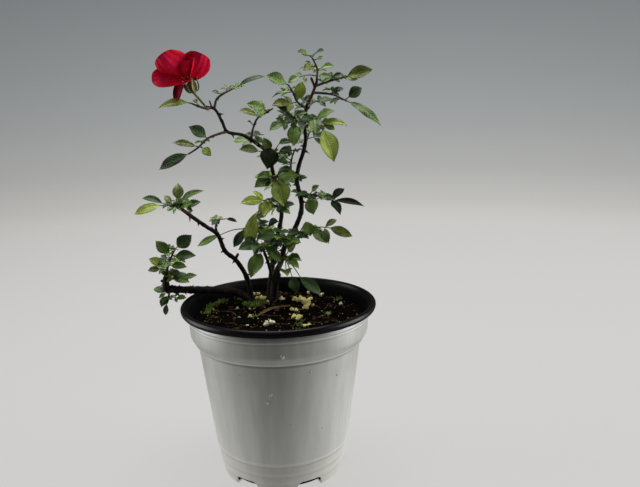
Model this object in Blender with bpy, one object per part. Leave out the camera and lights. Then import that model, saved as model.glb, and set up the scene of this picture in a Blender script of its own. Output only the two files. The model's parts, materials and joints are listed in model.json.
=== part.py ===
"""Miniature rose bush in its round nursery pot, modelled as separate solids.

The pot stands on z = 0 with its axis on the Z axis, and -Y is the side that the bush shows to the front.
Shapes are worked out in millimetres, and each mesh is scaled to metres when its object is finished.
Limbs are tapered tubes through a few knots. A mass of foliage is one twig with compound leaves on it, which
a seeded rule finishes: each leaf is a stalk with a blade at its end and pairs of blades along it.
"""

import math
import random
from collections import namedtuple

import bmesh
import bpy
from mathutils import Matrix, Vector
from mathutils.bvhtree import BVHTree

MM = 0.001
SEED = 41
GAP = 0.3  # clear space between two solids that touch on the real plant

# Pot: outlines are (radius, height) pairs
POT_HEIGHT = 135.0
RIM_RADIUS = 75.0
WALL = 1.8
POT_SEGMENTS = 32
FOOT_RADIUS = 47.0
FLOOR = 3.5
WALL_BOTTOM = (52.4, 21.5)  # where the plain conical wall starts, above the two foot steps
WALL_TOP = (62.8, 104.0)  # and where it ends, under the ledge
FOOT_STEPS = ((FOOT_RADIUS + 1.0, 10.5), (FOOT_RADIUS + 3.0, 12.0), (FOOT_RADIUS + 3.6, 19.5))
SKIRT = ((64.1, 105.0), (67.0, 108.8), (68.6, 113.5), (69.7, 129.4), (RIM_RADIUS - 1.2, 130.6))
RIM = (
    (RIM_RADIUS, 132.0),
    (RIM_RADIUS - 0.6, 134.2),
    (RIM_RADIUS - 2.2, POT_HEIGHT),
    (RIM_RADIUS - 4.4, POT_HEIGHT - 1.4),
)
INNER_NECK_RADIUS = 66.6
INNER_NECK_DROP = 8.0
LEDGE_HEIGHT = 106.0
LEDGE_INNER_RADIUS = 65.2
LEDGE_RISE = 6.0
DRAIN_COUNT = 6
DRAIN_FIRST_ANGLE = 233.5
DRAIN_SIZE = (20.0, 16.0, 16.0)  # round the pot, through its wall, and up, centred on z = 0

# Soil
SOIL_LEVEL = 123.0
SOIL_RADIUS = 66.0
MOUND_HEIGHT = 2.0
MOUND_CENTRE = (-12.0, 39.0)
MOUND_FLAT = 21.0
MOUND_FOOT = 36.0
SOIL_ROUGHNESS = 0.9
SOIL_RINGS = (0.25, 0.5, 0.72, 0.88, 1.0)

# Canes and thorns
CANE_SIDES = 6
TUBE_SEAM = Vector((0.31, -0.95, 0.1))  # the first edge of every tube faces this way
CANE_STEP = 7.0
ROOT_FLARE = 1.5
FLARE_HEIGHT = 7.0
THORN_SPACING = 15.0
THORN_LENGTH = 3.4
THORN_BASE = 0.8
THORN_STRETCH = 1.6  # how much longer a thorn's root is along the cane than across it
THORN_HOOK = 0.35
THORN_SEAT = 0.8  # share of the cane's radius where a thorn begins
THORN_SINK = 0.6
FINE_STEP = 0.2

# Foliage
TWIG_SIDES = 3
TWIG_RADIUS = 0.85
TWIG_TIP = 0.5
TWIG_STEP = 8.0
STALK_RADIUS = 0.42
BLADE_FOOT = 0.3
STALK_ARCH = 0.3
LONG_STALK = 12.0  # a longer stalk bends once
BLADE_THICKNESS = 0.36
BLADE_FOLD = 0.22
BLADE_ARCH = 0.3
STEEP_NORMAL = Vector((0.3, -0.5, 0.8))  # the upper side of a blade that points along the one it should have
LEAST_NORMAL = 0.25
END_PAIR = 0.72  # place along the stalk of the pair of side blades nearest its end
PAIR_SPACING = 0.3
PAIR_ANGLE = 56.0
PAIR_SIZE = 0.69
PAIR_TAPER = 0.86
PAIR_WIDTH = 0.5
GOLDEN_ANGLE = 137.5
BLADE_OUTLINE = ((0.3, 1.0), (0.68, 0.84))  # place along the blade, and share of its half width there
SMALL_BLADE = 15.0  # a shorter blade has the one pair of edge points below
SMALL_OUTLINE = ((0.45, 1.1),)

Limb = namedtuple("Limb", "name knots root tip from_soil thorns")
Leaf = namedtuple("Leaf", "at heading rise stalk leaflets blade nod face width", defaults=(10, 45, 0.64))
Mass = namedtuple("Mass", "name carrier knots leaves")
Petal = namedtuple("Petal", "heading opening bend length width cup turn")

# Each limb: knots of its centre line, radius at its root and at its tip, whether it stands in the soil, and
# whether it bears thorns.
LIMBS = (
    Limb(
        "cane_main",
        ((-3, 38, 0), (-1.5, 38, 146), (3, 36, 158), (7, 34, 173), (12, 32, 180), (19.5, 30, 197),
         (20.5, 30, 207), (17.5, 34, 223), (18.5, 34, 233), (23, 32, 247), (25, 31, 256), (24.5, 32, 268),
         (26, 34, 281), (31, 36, 291), (35, 36, 301)),
        2.5, 1.1, True, True,
    ),
    Limb("cane_back", ((-9, 46, 0), (-6, 48, 143), (-1, 50, 170), (4, 48, 192), (4, 46, 203), (-1, 44, 227)),
         2.2, 1.6, True, True),
    Limb("cane_left", ((-23, 42, 0), (-26, 40, 143), (-34, 34, 160), (-42, 28, 169), (-47, 20, 185),
                       (-54, 16, 191), (-65, 10, 201), (-71, 6, 207)), 2.1, 1.4, True, True),
    Limb("cane_inner", ((-9, 31, 0), (-7, 33, 139), (-6, 34, 148), (-8.5, 32, 160), (-10.5, 30, 166)),
         1.6, 1.2, True, True),
    Limb("low_bough", ((-26, 33, 0), (-28, 32.5, 129.5), (-38, 30, 135), (-55, 25, 138), (-67, 24, 138.9),
                       (-80, 25, 139.4), (-90, 27, 139.5)), 2.6, 2.3, True, True),
    Limb("low_stub", ((-90.5, 27, 139.5), (-90.5, 26, 146), (-89.5, 26, 153)), 2.6, 1.3, False, False),
    Limb("bloom_bough", ((-1, 44, 227), (-5, 40, 246), (-13, 34, 253.5), (-24, 26, 261), (-35.5, 20, 264),
                         (-39, 18, 272), (-44, 16, 281), (-50, 14, 282.5)), 1.6, 1.0, False, True),
)
CARRIER = {"low_stub": "low_bough", "bloom_bough": "cane_back"}

# The bloom and what carries it
FLOWER_STALK = ((-50, 14, 282.5), (-53.5, 12.5, 287), (-57.5, 10, 292))
FLOWER_STALK_RADIUS = 0.9
FLOWER_STALK_STEP = 4.0
HIP = ((0.0, 0.9), (2.0, 2.8), (4.5, 3.8), (7.0, 3.6), (8.5, 2.6))  # height along the hip, and its radius
BLOOM_AXIS = (-0.28, -0.12, 0.95)
SEPAL_COUNT = 5
SEPAL = (7.0, 2.6, 62.0)  # length, width, and angle away from the bloom's axis
SEPAL_DROOP = 45.0  # every second sepal is turned down further by this
SEPAL_SINK = 3.0
HIP_SIDES = 8
RECEPTACLE = 3.0  # radius of the round base of the bloom, above the hip
PETAL_THICKNESS = 0.5
PETAL_CLAW = 0.16  # share of its width that a petal has at its foot
PETAL_START = 0.1  # a petal's outline is this stretch of a half wave
PETAL_END = 0.8
PETAL_ROUNDING = 0.12
PETAL_ROWS = (0.06, 0.35, 0.7, 1.0)
PETAL_COLUMNS = (-1.0, -0.4, 0.4, 1.0)
PETALS = (
    Petal(192, 73, 30, 28, 23, 0.3, -52),
    Petal(226, 36, 25, 27, 25, 0.3, -8),
    Petal(335, 72, 25, 22, 26, 0.3, 58),
    Petal(290, 20, 10, 19, 18, 0.3, 0),
    Petal(40, 60, 30, 22, 24, 0.3, 0),
    Petal(120, 56, 30, 20, 24, 0.3, 0),
    Petal(190, 118, 90, 19, 10, 0.1, -40),
)

# Masses of foliage: the twig's knots, from the carrying limb's centre line outwards, and its leaves.
MASSES = (
    Mass("foliage_top", "cane_main", ((35, 36, 301), (35.5, 36, 311), (33, 36, 317), (30.5, 36, 321)), (
        Leaf(0.97, 210, 14, 3, 1, 9.5, -4, 60),
        Leaf(0.8, 325, 10, 3, 1, 6, 0, 45),
        Leaf(0.55, 222, 2, 5, 3, 10, 20, 75),
        Leaf(0.42, 350, 24, 4, 1, 10, 20, 50),
        Leaf(0.3, 75, 25, 9, 3, 10, 15, 40),
        Leaf(0.2, 203, -4, 16, 3, 10, 12, 50),
    )),
    Mass("foliage_top_right", "cane_main", ((34, 36, 298), (44, 30, 301), (57, 24, 304)), (
        Leaf(0.97, 345, 19, 2.5, 1, 19, 8, 75, 0.55),
        Leaf(0.9, 335, 0, 3, 1, 9, 15, 60),
        Leaf(0.42, 350, 42, 4, 1, 8, 20, 50),
        Leaf(0.6, 65, 20, 12, 3, 11, 20, 35),
    )),
    Mass("foliage_far_right", "cane_main", ((32, 36, 293), (41, 31, 292), (48, 28, 290.5),
                                            (57, 22, 285.5)), (
        Leaf(0.97, 341, -22, 4, 1, 30, 15, 50, 0.3),
        Leaf(0.94, 355, 38, 4, 1, 12, 5, 75, 0.8),
        Leaf(0.55, 95, 25, 13, 3, 12, 20, 35),
    )),
    Mass("foliage_upper_left", "cane_main", ((26, 34, 281), (19, 31, 286), (16, 29, 293), (12, 27, 299)), (
        Leaf(0.94, 200, 33, 3, 1, 17, 15, 60),
        Leaf(0.35, 330, 68, 2, 1, 14, 0, 75, 0.7),
        Leaf(0.3, 195, -7, 6, 3, 15, -5, 50),
        Leaf(0.7, 110, 15, 10, 3, 13, 15, 40),
    )),
    Mass("foliage_upper_middle", "cane_main", ((24.5, 32, 270), (18, 28, 273), (11, 26, 274)), (
        Leaf(0.85, 202, -35, 7, 3, 13, -10, 60),
        Leaf(0.42, 252, -40, 7, 1, 17, 25, 65, 0.7),
        Leaf(0.6, 185, 48, 5, 1, 11, 20, 45),
        Leaf(0.7, 115, 10, 11, 3, 13, 20, 40),
    )),
    Mass("foliage_upper_right", "cane_main", ((24.7, 32, 266), (32, 27, 271), (36, 24, 269)), (
        Leaf(0.6, 340, 38, 3, 1, 15, 15, 50),
        Leaf(0.95, 350, 0, 2.5, 1, 19.5, 3, 50, 0.42),
        Leaf(0.5, 275, 20, 5, 1, 14, 75, 50, 0.85),
        Leaf(0.75, 317, -46, 10, 1, 26, 17, 60, 0.6),
        Leaf(0.85, 60, 5, 11, 3, 13, 20, 40),
    )),
    Mass("foliage_spray", "bloom_bough", ((-17.5, 30, 257.5), (-16, 29, 266), (-12, 28, 274), (-5, 27, 278),
                                          (0, 26, 281)), (
        Leaf(0.54, 200, 30, 3, 1, 14, 12, 45, 0.5),
        Leaf(0.8, 200, 45, 3, 3, 15, 28, 55, 0.55),
        Leaf(0.27, 225, 30, 2, 1, 5.5, 5, 30),
        Leaf(0.7, 95, 20, 9, 3, 12, 20, 35),
    )),
    Mass("foliage_bloom_side", "bloom_bough", ((-35.5, 20, 264), (-43, 16, 262), (-50, 13, 259),
                                               (-57, 10, 252.5), (-64, 8, 248)), (
        Leaf(0.95, 188, -25, 3, 1, 23.5, 0, 50, 0.5),
        Leaf(0.46, 192, 45, 2, 1, 14, 10, 65, 0.72),
        Leaf(0.72, 190, 12, 3, 1, 16.5, 2, 45),
        Leaf(0.7, 322, -30, 3, 1, 10, 0, 60, 0.7),
        Leaf(0.6, 100, 10, 7, 3, 12, 15, 30),
    )),
    Mass("foliage_bloom_top", "bloom_bough", ((-44, 16, 281), (-42, 17, 288), (-37, 18, 292),
                                              (-29, 20, 296)), (
        Leaf(0.94, 345, 24, 7, 1, 20, 8, 50, 0.36),
        Leaf(0.8, 0, 28, 3, 1, 11, 10, 50),
        Leaf(0.55, 215, 25, 2.5, 1, 6, 15, 50),
        Leaf(0.7, 85, 25, 9, 3, 11, 20, 35),
    )),
    Mass("foliage_bloom_left", "bloom_bough", ((-47, 15, 282), (-48.5, 11.5, 281), (-54, 9, 282.5),
                                               (-60, 8.5, 285)), (
        Leaf(0.92, 192, 14, 4, 1, 21, 22, 50, 0.4),
        Leaf(0.6, 120, 40, 4, 1, 5.5, 10, 40),
    )),
    Mass("foliage_heart", "bloom_bough", ((-4.5, 41, 241), (-3, 34, 244), (-1, 31, 247)), (
        Leaf(0.97, 196, 8, 12, 1, 15, 0, 45),
        Leaf(0.7, 222, 50, 4, 1, 12, -8, 75, 0.7),
        Leaf(0.86, 250, 42, 6, 1, 19, 95, 60, 0.85),
        Leaf(0.97, 25, 50, 9, 1, 11, 40, 40),
        Leaf(0.8, 355, 8, 5, 1, 9, 5, 50),
    )),
    Mass("foliage_middle", "cane_back", ((0.2, 44.5, 221), (-3, 38, 225), (0, 33, 227)), (
        Leaf(0.62, 215, 38, 6, 3, 12, 40, 55),
        Leaf(0.5, 215, 15, 4, 1, 16, 35, 65, 0.7),
        Leaf(0.97, 335, 2, 3, 3, 18, -5, 55),
        Leaf(0.9, 292, -18, 7, 1, 21, 45, 60, 0.85),
        Leaf(0.8, 335, 52, 8, 1, 10, 40, 50),
    )),
    Mass("foliage_shoot", "cane_main", ((17.7, 34, 224), (13, 32, 232), (14, 32, 243), (17, 32, 250)), (
        Leaf(0.9, 190, 12, 3, 3, 9, 10, 50),
        Leaf(0.5, 200, 20, 3, 1, 9, 15, 50),
        Leaf(0.35, 95, 20, 9, 3, 11, 20, 35),
    )),
    Mass("foliage_middle_low", "cane_back", ((4, 46.5, 201), (-2, 40, 204), (-6, 35, 207)), (
        Leaf(0.95, 200, 20, 6, 3, 19, 20, 55, 0.5),
        Leaf(0.8, 245, 30, 5, 1, 14.5, 85, 60, 0.7),
        Leaf(0.75, 207, -28, 16, 1, 30, 38, 70, 0.4),
        Leaf(0.5, 205, -45, 8, 1, 12, -25, 50),
        Leaf(0.3, 335, -5, 5, 3, 12, -15, 50),
    )),
    Mass("foliage_right_middle", "cane_main", ((20, 30, 211), (26, 27, 213), (32, 25, 213), (38, 22, 210)), (
        Leaf(0.32, 330, 50, 4, 1, 8, 10, 50),
        Leaf(0.95, 340, -8, 9, 3, 20, 0, 40, 0.3),
        Leaf(0.82, 335, 4, 3, 1, 10, 10, 50),
        Leaf(0.2, 295, -20, 5, 1, 14, 40, 60, 0.85),
        Leaf(0.6, 60, 5, 11, 3, 12, 15, 35),
    )),
    Mass("foliage_right_low", "cane_main", ((11, 32.2, 179), (18, 28, 182), (27, 24, 186)), (
        Leaf(0.95, 343, 4, 17, 3, 19, 15, 60, 0.45),
        Leaf(0.92, 322, -8, 4, 1, 16, 28, 60, 0.6),
        Leaf(0.5, 335, 14, 3, 1, 8, 20, 50),
        Leaf(0.3, 318, 55, 12, 1, 12, 125, 60, 0.9),
        Leaf(0.7, 55, 0, 10, 3, 12, 10, 35),
    )),
    Mass("foliage_left_tip", "cane_left", ((-71, 6, 207), (-74, 4, 211), (-79, 2, 211)), (
        Leaf(0.96, 197, 0, 8, 1, 19, 15, 50, 0.45),
        Leaf(0.85, 166, 12, 8, 1, 16, -3, 40, 0.4),
        Leaf(0.3, 300, 78, 7, 1, 12, -3, 75, 0.75),
        Leaf(0.4, 345, 52, 6, 1, 20, 28, 50, 0.32),
        Leaf(0.4, 325, 22, 4, 1, 12, 10, 60, 0.6),
        Leaf(0.6, 150, 40, 4, 1, 8, 0, 50),
    )),
    Mass("foliage_left_fork", "cane_left", ((-47, 20, 185), (-47.5, 19, 192), (-44, 18, 197)), (
        Leaf(0.9, 240, 12, 3, 1, 8, 30, 50),
        Leaf(0.95, 335, 8, 6, 1, 9, 20, 40, 0.35),
        Leaf(0.6, 110, 20, 8, 3, 10, 20, 30),
    )),
    Mass("foliage_low_left", "low_stub", ((-89.5, 26, 153), (-87.5, 26, 160), (-85, 26, 166),
                                          (-81, 26, 173)), (
        Leaf(0.96, 355, 46, 3, 1, 15, 8, 75, 0.8),
        Leaf(0.75, 192, 28, 3, 1, 14, -18, 75, 0.7),
        Leaf(0.68, 350, -2, 3, 1, 16.5, -5, 55, 0.55),
        Leaf(0.3, 345, -6, 3, 1, 12.5, -2, 55, 0.6),
        Leaf(0.22, 200, 37, 5, 1, 11.5, 12, 60, 0.65),
        Leaf(0.12, 195, 8, 6, 1, 9, 8, 50),
        Leaf(0.45, 100, 15, 10, 3, 12, 15, 40),
        Leaf(0.5, 265, 5, 6, 1, 11, 20, 30),
    )),
    Mass("foliage_stub_side", "low_stub", ((-90, 26, 148), (-85, 25, 149), (-80, 25, 149)), (
        Leaf(0.9, 355, 2, 4, 1, 12, -8, 50, 0.45),
        Leaf(0.5, 340, -14, 3, 1, 11, -5, 50, 0.6),
    )),
    Mass("foliage_low_hanging", "low_bough", ((-87.5, 26.5, 139.4), (-89, 25, 133.5), (-89.5, 24, 130)), (
        Leaf(0.6, 245, 40, 3, 1, 10, 80, 50, 0.7),
        Leaf(0.95, 200, -65, 3, 1, 9, 15, 50, 0.5),
        Leaf(0.4, 345, -8, 7, 3, 8, -10, 45),
    )),
    Mass("foliage_low_middle", "cane_back", ((0, 50, 175), (-4, 46, 179), (-8, 41, 183), (-14, 37, 186),
                                             (-22, 33, 186)), (
        Leaf(0.97, 178, -10, 27, 1, 19, 8, 45, 0.42),
        Leaf(0.97, 185, -15, 5, 1, 16.5, 38, 60, 0.6),
        Leaf(0.45, 310, 50, 5, 1, 14, 30, 55, 0.65),
        Leaf(0.66, 275, 50, 5, 1, 11, 20, 60),
        Leaf(0.3, 110, 10, 9, 3, 12, 15, 40),
    )),
    Mass("foliage_inner", "cane_inner", ((-10.5, 30, 166), (-12, 28, 171), (-15, 25, 175)), (
        Leaf(0.7, 215, 22, 5, 3, 16, 25, 55, 0.65),
        Leaf(0.35, 235, -45, 4, 1, 21.5, 8, 60, 0.62),
        Leaf(0.3, 325, 15, 5, 1, 16, 48, 55, 0.55),
        Leaf(0.9, 260, 10, 7, 1, 13, 20, 40),
    )),
    Mass("foliage_foot", "cane_main", ((3, 36, 158), (5.5, 31, 161), (6.5, 28, 163)), (
        Leaf(0.95, 318, -18, 2.5, 1, 13.5, 15, 55, 0.5),
        Leaf(0.9, 270, -60, 11, 1, 17, -60, 55, 0.6),
        Leaf(0.7, 310, -62, 17, 1, 13.5, 8, 60, 0.75),
        Leaf(0.6, 338, -50, 21, 1, 22, -18, 55, 0.5),
        Leaf(0.4, 225, -50, 11, 1, 15.5, 22, 55, 0.5),
        Leaf(0.85, 320, 60, 6, 1, 11, 20, 55, 0.7),
    )),
)

# Twigs on the far and the near side: name, carrier, root, heading, rise, length and number of leaves.
ROUND_TWIGS = (
    ("foliage_back_top", "cane_main", (25.5, 33.5, 277), 70, 25, 22, 3),
    ("foliage_back_high", "cane_main", (23, 32, 247), 75, 30, 30, 4),
    ("foliage_back_left", "bloom_bough", (-9, 37, 250.5), 120, 22, 24, 3),
    ("foliage_back_middle", "cane_back", (3, 45, 211), 95, 25, 30, 4),
    ("foliage_back_low", "cane_back", (-4, 49, 155), 80, 35, 32, 4),
    ("foliage_front_low", "cane_main", (7.5, 33.5, 172), 255, 30, 15, 3),
)
ROUND_STALK = 7.0
ROUND_BLADE = 13.0
ROUND_ARCH = 0.5
ROUND_SPREAD = 55.0  # angle between the twig and the leaves on its two sides
ROUND_DRIFT = 12.0
ROUND_RISE = 14.0
ROUND_NOD = 13.0
ROUND_FIRST = 0.3  # places along the twig of its first and last side leaves, and of the leaf at its end
ROUND_LAST = 0.9
ROUND_END = 0.97

COLOURS = {
    "pot": (0.55, 0.58, 0.6),
    "soil": (0.03, 0.02, 0.015),
    "bark": (0.035, 0.022, 0.018),
    "leaf": (0.05, 0.14, 0.03),
    "hip": (0.12, 0.2, 0.05),
    "petal": (0.5, 0.004, 0.03),
}
ROUGHNESS = {"pot": 0.35, "soil": 0.95, "bark": 0.6, "leaf": 0.45, "hip": 0.5, "petal": 0.55}


def pointing(heading, rise):
    """Unit vector at a heading, anticlockwise from +X, and an angle above the horizontal, in degrees."""
    turn = math.radians(heading)
    lift = math.radians(rise)
    return Vector((math.cos(turn) * math.cos(lift), math.sin(turn) * math.cos(lift), math.sin(lift)))


def turned(vector, axis, degrees):
    return Matrix.Rotation(math.radians(degrees), 3, axis) @ vector


def clear_scene():
    for obj in list(bpy.data.objects):
        bpy.data.objects.remove(obj, do_unlink=True)


def make_material(name):
    material = bpy.data.materials.new(name)
    material.use_nodes = True
    shader = material.node_tree.nodes["Principled BSDF"]
    shader.inputs["Base Color"].default_value = (*COLOURS[name], 1.0)
    shader.inputs["Roughness"].default_value = ROUGHNESS[name]
    shader.inputs["Metallic"].default_value = 0.0
    return material


def new_object(name, points, faces):
    """A mesh object, in millimetres, linked to the scene."""
    mesh = bpy.data.meshes.new(name)
    mesh.from_pydata([tuple(p) for p in points], [], faces)
    obj = bpy.data.objects.new(name, mesh)
    bpy.context.scene.collection.objects.link(obj)
    return obj


def boolean(body, pieces, operation, solver="EXACT"):
    """Joins the pieces to the body, or cuts them from it, with one applied modifier on their collection."""
    holder = bpy.data.collections.new(body.name + "_pieces")
    bpy.context.scene.collection.children.link(holder)
    for piece in pieces:
        holder.objects.link(piece)
        bpy.context.scene.collection.objects.unlink(piece)
    modifier = body.modifiers.new(operation.lower(), "BOOLEAN")
    modifier.operation = operation
    modifier.operand_type = "COLLECTION"
    modifier.collection = holder
    modifier.solver = solver
    graph = bpy.context.evaluated_depsgraph_get()
    joined = bpy.data.meshes.new_from_object(body.evaluated_get(graph))
    body.modifiers.clear()
    body.data = joined
    for piece in pieces:
        bpy.data.objects.remove(piece, do_unlink=True)
    bpy.data.collections.remove(holder)


def drop_scraps(obj):
    """Keeps only the largest connected piece of a mesh."""
    work = bmesh.new()
    work.from_mesh(obj.data)
    left = set(work.verts)
    pieces = []
    while left:
        stack = [left.pop()]
        piece = set(stack)
        while stack:
            for edge in stack.pop().link_edges:
                for vert in edge.verts:
                    if vert not in piece:
                        piece.add(vert)
                        stack.append(vert)
        left -= piece
        pieces.append(piece)
    largest = max(pieces, key=len)
    bmesh.ops.delete(work, geom=[v for v in work.verts if v not in largest], context="VERTS")
    work.to_mesh(obj.data)
    work.free()


def surface_tree(obj):
    points = [v.co.copy() for v in obj.data.vertices]
    return BVHTree.FromPolygons(points, [tuple(p.vertices) for p in obj.data.polygons])


class Garden:
    """The finished solids, with a search tree for each, so that what grows later stays clear of them."""

    def __init__(self):
        self.root = bpy.data.objects.new("rose_bush", None)
        bpy.context.scene.collection.objects.link(self.root)
        self.materials = {name: make_material(name) for name in COLOURS}
        self.trees = {}

    def add(self, obj, material, sharp=40.0):
        self.trees[obj.name] = surface_tree(obj)
        obj.data.transform(Matrix.Scale(MM, 4))
        obj.data.materials.clear()
        obj.data.materials.append(self.materials[material])
        obj.data.shade_smooth()
        obj.data.set_sharp_from_angle(angle=math.radians(sharp))
        obj.parent = self.root

    def is_clear(self, points, faces):
        tree = BVHTree.FromPolygons([Vector(p) for p in points], faces)
        return not any(tree.overlap(other) for other in self.trees.values())


def turned_profile(profile, segments):
    """Points and faces of a solid turned about Z. The profile starts and ends on the axis, anticlockwise."""
    points = [(0.0, 0.0, profile[0][1])]
    faces = []
    rings = []
    for radius, height in profile[1:-1]:
        ring = []
        for i in range(segments):
            angle = math.tau * i / segments
            ring.append(len(points))
            points.append((radius * math.cos(angle), radius * math.sin(angle), height))
        rings.append(ring)
    points.append((0.0, 0.0, profile[-1][1]))
    last = len(points) - 1
    for i in range(segments):
        j = (i + 1) % segments
        faces.append((0, rings[0][j], rings[0][i]))
        for low, high in zip(rings, rings[1:]):
            faces.append((low[i], low[j], high[j], high[i]))
        faces.append((last, rings[-1][i], rings[-1][j]))
    return points, faces


def wall_radius(height):
    """Outer radius of the pot's plain conical wall at a height."""
    share = (height - WALL_BOTTOM[1]) / (WALL_TOP[1] - WALL_BOTTOM[1])
    return WALL_BOTTOM[0] + share * (WALL_TOP[0] - WALL_BOTTOM[0])


def inner_profile(inset):
    """The pot's inner face, from the brim down to the floor, moved in by the inset."""
    return [
        (INNER_NECK_RADIUS - inset, POT_HEIGHT - INNER_NECK_DROP),
        (SOIL_RADIUS - inset, SOIL_LEVEL),
        (LEDGE_INNER_RADIUS - inset, LEDGE_HEIGHT + LEDGE_RISE),
        (wall_radius(LEDGE_HEIGHT) - WALL - inset, LEDGE_HEIGHT - 1.0),
        (FOOT_RADIUS - WALL - inset, FLOOR + inset),
    ]


def make_pot(garden):
    outer = [(0.0, 0.0), (FOOT_RADIUS, 0.0), *FOOT_STEPS, WALL_BOTTOM, WALL_TOP, *SKIRT, *RIM]
    profile = outer + inner_profile(0.0) + [(0.0, FLOOR)]
    pot = new_object("pot", *turned_profile(profile, POT_SEGMENTS))
    cutters = []
    for i in range(DRAIN_COUNT):
        angle = math.radians(DRAIN_FIRST_ANGLE + 360.0 * i / DRAIN_COUNT)
        cube = bmesh.new()
        bmesh.ops.create_cube(cube, size=1.0)
        place = Vector((math.cos(angle), math.sin(angle), 0.0)) * FOOT_RADIUS
        frame = Matrix.Translation(place) @ Matrix.Rotation(angle + math.pi / 2, 4, "Z")
        cube.transform(frame @ Matrix.Diagonal((*DRAIN_SIZE, 1.0)))
        mesh = bpy.data.meshes.new("drain")
        cube.to_mesh(mesh)
        cube.free()
        cutter = bpy.data.objects.new("drain", mesh)
        bpy.context.scene.collection.objects.link(cutter)
        cutters.append(cutter)
    boolean(pot, cutters, "DIFFERENCE")
    garden.add(pot, "pot")


def soil_height(x, y):
    """Height of the soil: level, with one low flat-topped mound round the crown of the bush."""
    away = math.hypot(x - MOUND_CENTRE[0], y - MOUND_CENTRE[1])
    share = min(1.0, max(0.0, (MOUND_FOOT - away) / (MOUND_FOOT - MOUND_FLAT)))
    return SOIL_LEVEL + MOUND_HEIGHT * share * share * (3 - 2 * share), share < 1.0


def make_soil(garden):
    rng = random.Random(SEED)
    below = [(r, z) for r, z in reversed(inner_profile(GAP)) if z < SOIL_LEVEL]
    top_radius = inner_profile(GAP)[1][0]
    top = [(top_radius * share, SOIL_LEVEL) for share in reversed(SOIL_RINGS)]
    profile = [(0.0, FLOOR + GAP)] + below + top + [(0.0, SOIL_LEVEL)]
    points, faces = turned_profile(profile, POT_SEGMENTS)
    shaped = []
    for x, y, z in points:
        if z == SOIL_LEVEL:
            level, rough = soil_height(x, y)
            z = level + (rng.uniform(-SOIL_ROUGHNESS, SOIL_ROUGHNESS) if rough else 0.0)
        shaped.append((x, y, z))
    garden.add(new_object("soil", shaped, faces), "soil")


def smooth_route(knots, step):
    """Points about one step apart on a smooth curve through the knots."""
    knots = [Vector(k) for k in knots]
    tangents = []
    for i, knot in enumerate(knots):
        before = knots[max(0, i - 1)]
        after = knots[min(len(knots) - 1, i + 1)]
        tangents.append((after - before) / ((after - knot).length + (knot - before).length))
    route = []
    for i in range(len(knots) - 1):
        start, end = knots[i], knots[i + 1]
        span = (end - start).length
        count = max(1, round(span / step))
        for j in range(count):
            t = j / count
            route.append(
                start * (2 * t**3 - 3 * t**2 + 1)
                + tangents[i] * span * (t**3 - 2 * t**2 + t)
                + end * (3 * t**2 - 2 * t**3)
                + tangents[i + 1] * span * (t**3 - t**2)
            )
    return route + [knots[-1]]


def skin(rings, tip=None):
    """Points and faces of a closed body through rings of equal count, ending in a flat cap or a point."""
    sides = len(rings[0])
    points = [point for ring in rings for point in ring]
    faces = [tuple(reversed(range(sides)))]
    for i in range(len(rings) - 1):
        for k in range(sides):
            j = (k + 1) % sides
            faces.append((i * sides + k, i * sides + j, (i + 1) * sides + j, (i + 1) * sides + k))
    last = (len(rings) - 1) * sides
    if tip is None:
        faces.append(tuple(range(last, last + sides)))
    else:
        points.append(tip)
        faces += [(last + k, last + (k + 1) % sides, len(points) - 1) for k in range(sides)]
    return points, faces


def tube(route, radii, sides, flat_start=False):
    """Points and faces of a closed tube along a route. A flat start is cut level."""
    rings = []
    side = TUBE_SEAM
    last = len(route) - 1
    for i, centre in enumerate(route):
        forward = (route[min(i + 1, last)] - route[max(i - 1, 0)]).normalized()
        if flat_start and i == 0:
            forward = Vector((0, 0, 1))
        side = (side - forward * side.dot(forward)).normalized()
        across = forward.cross(side)
        turns = [math.tau * k / sides for k in range(sides)]
        rings.append([centre + (side * math.cos(t) + across * math.sin(t)) * radii[i] for t in turns])
    return skin(rings)


def signed_distance(tree, point):
    nearest, normal, _, distance = tree.find_nearest(point)
    return distance if (point - nearest).dot(normal) > 0 else -distance


def start_clear(route, radius, tree):
    """The route from the first place where a ring of this radius is GAP clear of the carrying surface."""
    for i in range(len(route) - 1):
        forward = (route[i + 1] - route[i]).normalized()
        side = forward.orthogonal().normalized()
        ring = [route[i] + turned(side, forward, a) * radius for a in range(0, 360, 45)]
        if min(signed_distance(tree, p) for p in ring + [route[i]]) >= GAP:
            return route[i:]
    raise ValueError("the route never leaves its carrier")


def thinned(route, step):
    """Every so many points of a fine route, with both ends kept."""
    kept = [route[0]]
    for point in route[1:-1]:
        if (point - kept[-1]).length >= step and (point - route[-1]).length >= step / 2:
            kept.append(point)
    return kept + [route[-1]]


def limb_radius(limb, share, climbed):
    radius = limb.root + (limb.tip - limb.root) * share
    if limb.from_soil:
        radius *= 1 + (ROOT_FLARE - 1) * max(0.0, 1 - climbed / FLARE_HEIGHT) ** 2
    return radius


def thorn(base, outward, along, length):
    """A hooked thorn with a four-sided root, broad along the limb."""
    root = base - outward * THORN_SINK
    across = outward.cross(along).normalized()
    tall = along * THORN_BASE * THORN_STRETCH
    points = [root + tall, root + across * THORN_BASE, root - tall, root - across * THORN_BASE]
    points.append(base + outward * length - along * length * THORN_HOOK)
    return points, [(0, 1, 2, 3)] + [(k, 4, (k + 1) % 4) for k in range(4)]


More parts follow.
